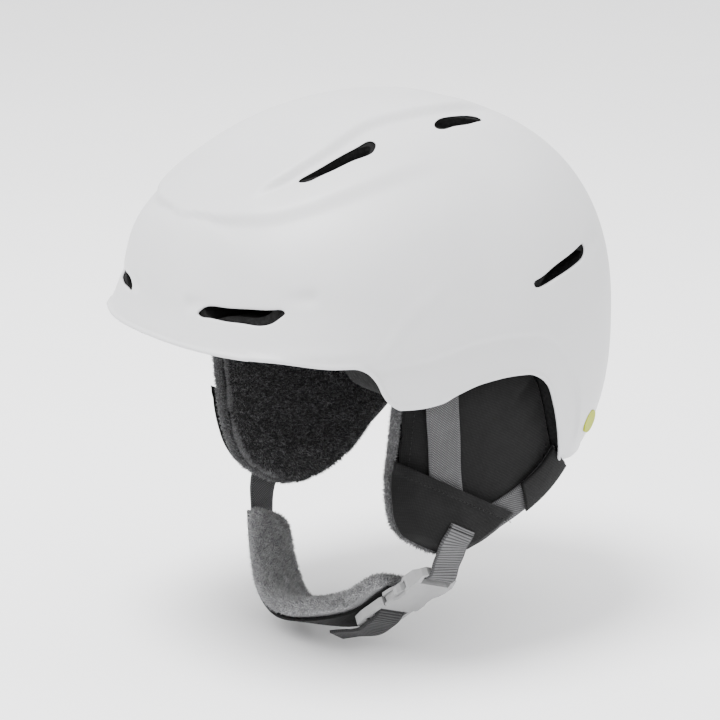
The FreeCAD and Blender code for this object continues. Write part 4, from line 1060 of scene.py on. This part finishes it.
def pad_route(places, lift, steps):
    """A strap's middle line on the pad, and its width direction at each step."""
    flat = smooth_route([(y, z, 0) for y, z in places], steps)
    y, z = flat[:, 0], flat[:, 1]
    centres = lifted(y, z, lift)
    along = unit(np.gradient(centres, axis=0))
    side = unit(np.column_stack([np.zeros(len(y)), -along[:, 2], along[:, 1]]))
    ahead = pad_face(y + side[:, 1], z + side[:, 2])
    return centres, np.column_stack([ahead - pad_face(y, z), side[:, 1], side[:, 2]])


def strap(name, centres, across, width, thick, material, columns=10, bow=0.0):
    """Webbing with rounded selvedges; its map is millimetres across and along."""
    along = unit(np.gradient(centres, axis=0))
    side = unit(across - along * np.sum(across * along, axis=1)[:, None])
    out = np.cross(along, side)
    lengths = lengths_along(centres)
    half, lift = width / 2, thick / 2
    top = [(u, lift) for u in np.linspace(-half + 0.35, half - 0.35, columns)]
    section = top + [(half, lift * 0.35), (half, -lift * 0.35)] + [(u, -v) for u, v in top[::-1]]
    section += [(-half, -lift * 0.35), (-half, lift * 0.35)]
    rings = [centre + np.array([s * u + o * (v + bow * (1 - (u / half) ** 2)) for u, v in section])
             for centre, s, o in zip(centres, side, out)]
    points, faces = skin(rings)
    maps = [(u, length) for length in lengths for u, _ in section] + [(0, 0), (0, lengths[-1])]
    mesh = plain_mesh(name, points, faces)
    layer = mesh.uv_layers.new(name="cloth")
    corner = np.zeros(len(mesh.loops), np.int32)
    mesh.loops.foreach_get("vertex_index", corner)
    layer.data.foreach_set("uv", np.array(maps, np.float32)[corner].ravel())
    shade_smooth(mesh, material)
    piece = in_scene(bpy.data.objects.new(name, mesh))
    fix_normals(piece)
    return piece


def worn_as(piece, body, cad_node):
    """Gives a strap its body and hides the CAD strap that it stands for."""
    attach(piece, body)
    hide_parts(cad_node)


def build_pad_straps():
    for side, word in SIDES:
        mirror = np.array([side, 1, 1])
        for end, route, steps in (("front", FRONT_STRAP, 60), ("rear", REAR_STRAP, 40)):
            centres, across = pad_route(route, STRAP_LIFT - 0.1, steps)
            piece = strap(end + "_web_" + word, centres * mirror, across * mirror, WEB_WIDTH, WEB_THICK,
                          webbing_knit)
            worn_as(piece, "shell", end + "_strap_" + word)
        centres, across = pad_route(SLEEVE, OVER_LIFT - 0.6, 30)
        sleeve = strap("strap_sleeve_" + word, centres * mirror, across * mirror, SLEEVE_WIDTH, SLEEVE_THICK,
                       ear_fabric, 14, 0.9 * side)
        worn_as(sleeve, "shell", "rear_strap_sleeve_" + word)


BUCKLE_ALONG = unit(np.array([-0.706, -0.309, -0.637]))
BUCKLE_ACROSS = np.array([-0.104, 0.928, -0.336])
BUCKLE_ACROSS = unit(BUCKLE_ACROSS - BUCKLE_ALONG * (BUCKLE_ACROSS @ BUCKLE_ALONG))
BUCKLE_OUT = np.cross(BUCKLE_ALONG, BUCKLE_ACROSS)
BUCKLE_START = np.array([78.0, -4.5, -123.5])


def on_buckle(along, across, out):
    return BUCKLE_START + BUCKLE_ALONG * along + BUCKLE_ACROSS * across + BUCKLE_OUT * out


SLIT_PLACES = [lifted(4.8, -95.5, 3.4), lifted(2.6, -99.5, 4.6), lifted(0.6, -103.5, 4.7)]
ACROSS_ON_PAD = np.array([-0.10, 0.885, -0.47])
ACROSS_AT_RIGHT = np.array([-0.24, 0.86, -0.45])
ACROSS_AT_CHIN = np.array([0, 0.95, -0.3])
CHIN_POINTS = [on_buckle(25, 0, -7.4), on_buckle(38, 0, -7.4), on_buckle(51, 0, -7.1), (15, -37, -159.5),
               (-9, -38, -164), (-32, -33.5, -161.5), (-52, -26.5, -152), (-66, -20.5, -139),
               (-74.5, -16.5, -127)]
FLEECE_WIDTH, BACKING_WIDTH, BACKING_THICK = 33.0, 27.0, 1.2


def turned(first, last, steps):
    """A width direction that turns evenly from one to another."""
    share = np.linspace(0, 1, steps + 1)[:, None]
    return first * (1 - share) + last * share


def build_lower_webs():
    leaving, arriving = SLIT_PLACES[-1], on_buckle(-2.2, 0, 2.7)
    places = SLIT_PLACES + [leaving * (1 - share) + arriving * share for share in (0.33, 0.66, 1.0)] + [
        on_buckle(0.6, 0, 1.7), on_buckle(1.8, 0, -0.9)]
    web = strap("lower_web_left", smooth_route(places, 70), turned(ACROSS_ON_PAD, BUCKLE_ACROSS, 70),
                WEB_WIDTH, WEB_THICK, webbing_ribbed)
    worn_as(web, "shell", "chin_web_left")
    mirror = np.array([RIGHT, 1, 1])
    places = [place * mirror for place in SLIT_PLACES[:2]] + [
        (-86.5, -4.5, -103.5), (-83.0, -10.5, -109.5), (-79.8, -13.8, -116.0), (-77.0, -15.6, -122.0),
        (-74.4, -17.2, -128.5)]
    across = turned(ACROSS_ON_PAD * mirror, ACROSS_AT_RIGHT, 80)
    web = strap("lower_web_right", smooth_route(places, 80), across, WEB_WIDTH, WEB_THICK, webbing_knit)
    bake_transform(web)
    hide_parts("chin_web_right")
    for side, word in SIDES:
        middle = lifted(3.4, -97.4, OVER_LIFT + 0.9) * [side, 1, 1]
        half = ACROSS_ON_PAD * [side, 1, 1] * (WEB_WIDTH / 2 + 0.8)
        route = middle + np.linspace(-1, 1, 24)[:, None] * half
        tube("slit_lip_" + word, route, SLIT_LIP_RADIUS, ear_fabric, sides=6)


def chin_frames(steps):
    """The chin strap's middle line, and its width and outward directions at each step."""
    route = smooth_route(CHIN_POINTS, steps)
    share = np.linspace(0, 1, steps + 1)[:, None]
    early = turned(BUCKLE_ACROSS, 2 * ACROSS_AT_CHIN - BUCKLE_ACROSS, steps)
    late = ACROSS_AT_CHIN * (2 - 2 * share) + ACROSS_AT_RIGHT * (2 * share - 1)
    across = np.where(share < 0.5, early, late)
    along = unit(np.gradient(route, axis=0))
    across = unit(across - along * np.sum(across * along, axis=1)[:, None])
    return route, across, np.cross(along, across)


def chin_cushion():
    """The fleece pad inside the loop: a rounded pillow along the strap."""
    steps, around = 80, 40
    rings = []
    for i, (centre, across, out) in enumerate(zip(*chin_frames(steps))):
        end = min(i, steps - i) / steps / 0.07
        close = math.sqrt(max(0.03, 1 - max(0.0, 1 - end) ** 2))
        half = FLEECE_WIDTH / 2 * (0.74 + 0.26 * close)
        inner, outer = -1.2 - 8.4 * (0.35 + 0.65 * close), 0.9
        turn = full_turn(around)
        side, rise = squared(np.cos(turn), 0.7), squared(np.sin(turn), 0.7)
        rings.append(centre + across * (side * half)[:, None]
                     + out * ((inner + outer) / 2 + (outer - inner) / 2 * rise)[:, None])
    return skin(rings)


def build_chin_strap():
    route, across, out = chin_frames(90)
    start = 18
    web = strap("chin_webbing", route[start:], across[start:], WEB_WIDTH, WEB_THICK, webbing_dark)
    backing = strap("chin_backing", route + out * 2.1 + across * 1.5, across, BACKING_WIDTH, BACKING_THICK,
                    ear_fabric, 16)
    places = [on_buckle(35.6, 0, -0.6), on_buckle(38.2, 0, 2.0), on_buckle(42, 0, 3.8), on_buckle(48, 0, 4.2),
              on_buckle(55, 0, 4.0), (33.5, -28.5, -164.0), (26.5, -34.0, -166.0)]
    tail = strap("tail_webbing", smooth_route(places, 60), turned(BUCKLE_ACROSS, ACROSS_AT_CHIN, 60),
                 WEB_WIDTH, WEB_THICK, webbing_dark)
    for piece, slot, cad in ((web, "webbing_dark", "chin_web"), (backing, "ear_fabric", "chin_pad_backing"),
                             (tail, "webbing_dark", "strap_tail")):
        worn_as(piece, "chin_strap", cad)
    cushion = stuffed(loose_object("chin_cushion", *chin_cushion()), voxel=2.4, cap=0.9, pressure=3.0)
    dressed(cushion, chin_fleece, "chin_strap", "chin_pad_fleece")
    route, _, outwards = chin_frames(60)

    def off_the_backing(centres, normals):
        nearest = np.argmin(np.linalg.norm(centres[:, None] - route[None], axis=2), axis=1)
        return np.sum(normals * outwards[nearest], axis=1) < 0.8

    add_pile("chin_pile", cushion, chin_fleece, "chin_strap", "chin_fleece", off_the_backing,
             count=24000, seed=13, length=1.9, root=0.27)


def build_comfort_pads():
    """Inside pads, swollen from their plain solids."""
    cad_names = {"brow": "brow_pad", "rear": "rear_pad", "side_left": "side_pad_left",
                 "crown": "crown_pad", "side_right": "side_pad_right", "cradle": "cradle_pad"}
    for word, name in cad_names.items():
        body = "cradle" if word == "cradle" else "slip_liner"
        source = bpy.data.objects[name]
        copy = in_scene(bpy.data.objects.new(word + "_cushion", source.data.copy()))
        copy.data.transform(source.matrix_world)
        cushion = stuffed(copy, voxel=2.2, cap=0.7, pressure=4.0)
        dressed(cushion, comfort_fabric, body, name)


def finish_hard_parts():
    """Materials and softened edges on the CAD pieces that stay."""
    kept = ((foam_grey, ("foam_liner",)), (liner_plastic, ("slip_liner",)),
            (anchor_rubber, ("liner_anchors",)),
            (fit_plastic, ("cradle_frame", "height_rail", "dial_cover", "band_left", "band_right",
                           "strap_anchors", "ear_pad_snaps")),
            (dial_plastic, ("fit_dial",)),
            (buckle_plastic, ("buckle_socket", "buckle_plug", "release_arm_rear", "release_arm_front")),
            (clip_plastic, ("goggle_clip_base", "goggle_clip_flap")),
            (pin_steel, ("goggle_clip_pin", "goggle_clip_rivets")), (badge_yellow, ("round_badge",)))
    rounded = {"buckle_socket": 0.9, "buckle_plug": 0.7, "release_arm_rear": 0.5, "release_arm_front": 0.5,
               "goggle_clip_base": 0.8, "goggle_clip_flap": 0.6, "cradle_frame": 0.5, "dial_cover": 0.5,
               "height_rail": 0.5}
    for material, names in kept:
        for name in names:
            piece = bpy.data.objects[name]
            piece.data.materials.clear()
            piece.data.materials.append(material)
            if name in rounded:
                bevel = piece.modifiers.new("rounded", "BEVEL")
                bevel.width = rounded[name] * MM
                bevel.segments = 3
                bevel.limit_method = "ANGLE"
                bevel.angle_limit = math.radians(40)


# ---------------------------------------------------------------- flap over the straps

HEM_START, HEM_END = (-41.0, -50.5), (56.0, -103.0)
HEM_WIDTH = 5.5
FLAP_BOTTOM, FLAP_THICK = -111.4, 0.9


def hem_level(y):
    share = (y - HEM_START[0]) / (HEM_END[0] - HEM_START[0])
    return HEM_START[1] + (HEM_END[1] - HEM_START[1]) * share


def build_flap(side, word):
    """Cloth sewn to the pad's front and lower edges, with a folded hem along its slanted top."""
    rows, columns = 46, 60
    outside, inside = [], []
    for i in range(rows + 1):
        down = i / rows
        for j in range(columns + 1):
            share = j / columns
            y = -40.0 + 79.0 * share
            for _ in range(12):
                top = hem_level(y)
                level = top + (FLAP_BOTTOM - top) * down
                first, last = pad_front(level) + 0.4, pad_rear(level) - 0.4
                y = first + (last - first) * share
            edge = min(share, 1 - share) * (last - first)
            hug = float(smooth_step(min(edge, (level - FLAP_BOTTOM) * 1.6 + 1.0) / 11.0))
            hem = float(smooth_step((HEM_WIDTH - (top - level) * 0.9) / 1.0))
            ripple = 0.25 * math.sin(0.33 * y + 0.21 * level) * hug
            lift = 0.4 + (OVER_LIFT - 0.3) * hug + 0.9 * hem + ripple
            outside.append(lifted(y, level, lift))
            inside.append(lifted(y, level, lift - FLAP_THICK))
    points = np.array(outside + inside) * [side, 1, 1]
    count, width = len(outside), columns + 1
    faces = []
    for i in range(rows):
        for j in range(columns):
            a = i * width + j
            faces.append((a, a + 1, a + width + 1, a + width))
            faces.append((a + count, a + width + count, a + width + 1 + count, a + 1 + count))
    rim = [j for j in range(width)]
    rim += [i * width + columns for i in range(1, rows + 1)]
    rim += [rows * width + j for j in range(columns - 1, -1, -1)]
    rim += [i * width for i in range(rows - 1, 0, -1)]
    faces += bridge(rim, [i + count for i in rim])
    flap = mesh_piece("ear_flap_" + word, points, faces, ear_fabric, "shell")
    fix_normals(flap)
    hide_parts("ear_pad_flap_" + word)
    y = np.linspace(-36, 44, 120)
    z = hem_level(y) - HEM_WIDTH * 1.05
    near = np.array([smooth_step(min(v - pad_front(w), pad_rear(w) - v) / 11.0) for v, w in zip(y, z)])
    seam = lifted(y, z, 0.85 + (OVER_LIFT - 0.3) * near) * [side, 1, 1]
    out = np.tile([side * 1.0, 0.0, 0.1], (len(y), 1))
    thread("flap_stitches_" + word, seam, out, length=2.0, gap=1.2, width=0.3)


build_shell()
build_ear_pads()
build_pad_straps()
for flap_side, flap_word in SIDES:
    build_flap(flap_side, flap_word)
build_lower_webs()
build_chin_strap()
build_comfort_pads()
finish_hard_parts()


# ---------------------------------------------------------------- floor and light

def make_floor():
    finish = Finish("floor_pale", 0.7, specular=0.2)
    broad = finish.noise(3, 2)
    finish.colour(finish.ramp(broad, (0.3, 0.93), (0.7, 0.95)))
    finish.bump((finish.noise(300, 3), 0.05))
    size, level = 4.0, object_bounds()[0].z - 0.002
    mesh = bpy.data.meshes.new("floor")
    corners = [(x * size, y * size, level) for x, y in ((-1, -1), (1, -1), (1, 1), (-1, 1))]
    mesh.from_pydata(corners, [], [(0, 1, 2, 3)])
    mesh.materials.append(finish.material)
    floor = bpy.data.objects.new("floor", mesh)
    in_scene(floor)


LIGHT_AIM = Vector((0, 0, -0.02))


def make_light(name, place, size, watts):
    data = bpy.data.lights.new(name, "AREA")
    data.shape = "DISK"
    data.size = size
    data.energy = watts
    lamp = bpy.data.objects.new(name, data)
    lamp.location = place
    lamp.rotation_euler = (Vector(place) - LIGHT_AIM).to_track_quat("Z", "Y").to_euler()
    in_scene(lamp)


def make_sky():
    world = bpy.data.worlds.new("studio")
    world.use_nodes = True
    sky = world.node_tree.nodes["Background"]
    sky.inputs["Color"].default_value = (1.0, 1.0, 1.0, 1)
    sky.inputs["Strength"].default_value = 1.9
    bpy.context.scene.world = world


make_floor()
make_sky()
make_light("key_light", (0.1, -0.65, 2.1), size=1.0, watts=108)
make_light("left_light", (-1.6, -1.0, 0.9), size=1.2, watts=8)
make_light("rear_light", (1.2, 1.5, 1.4), size=1.2, watts=8)
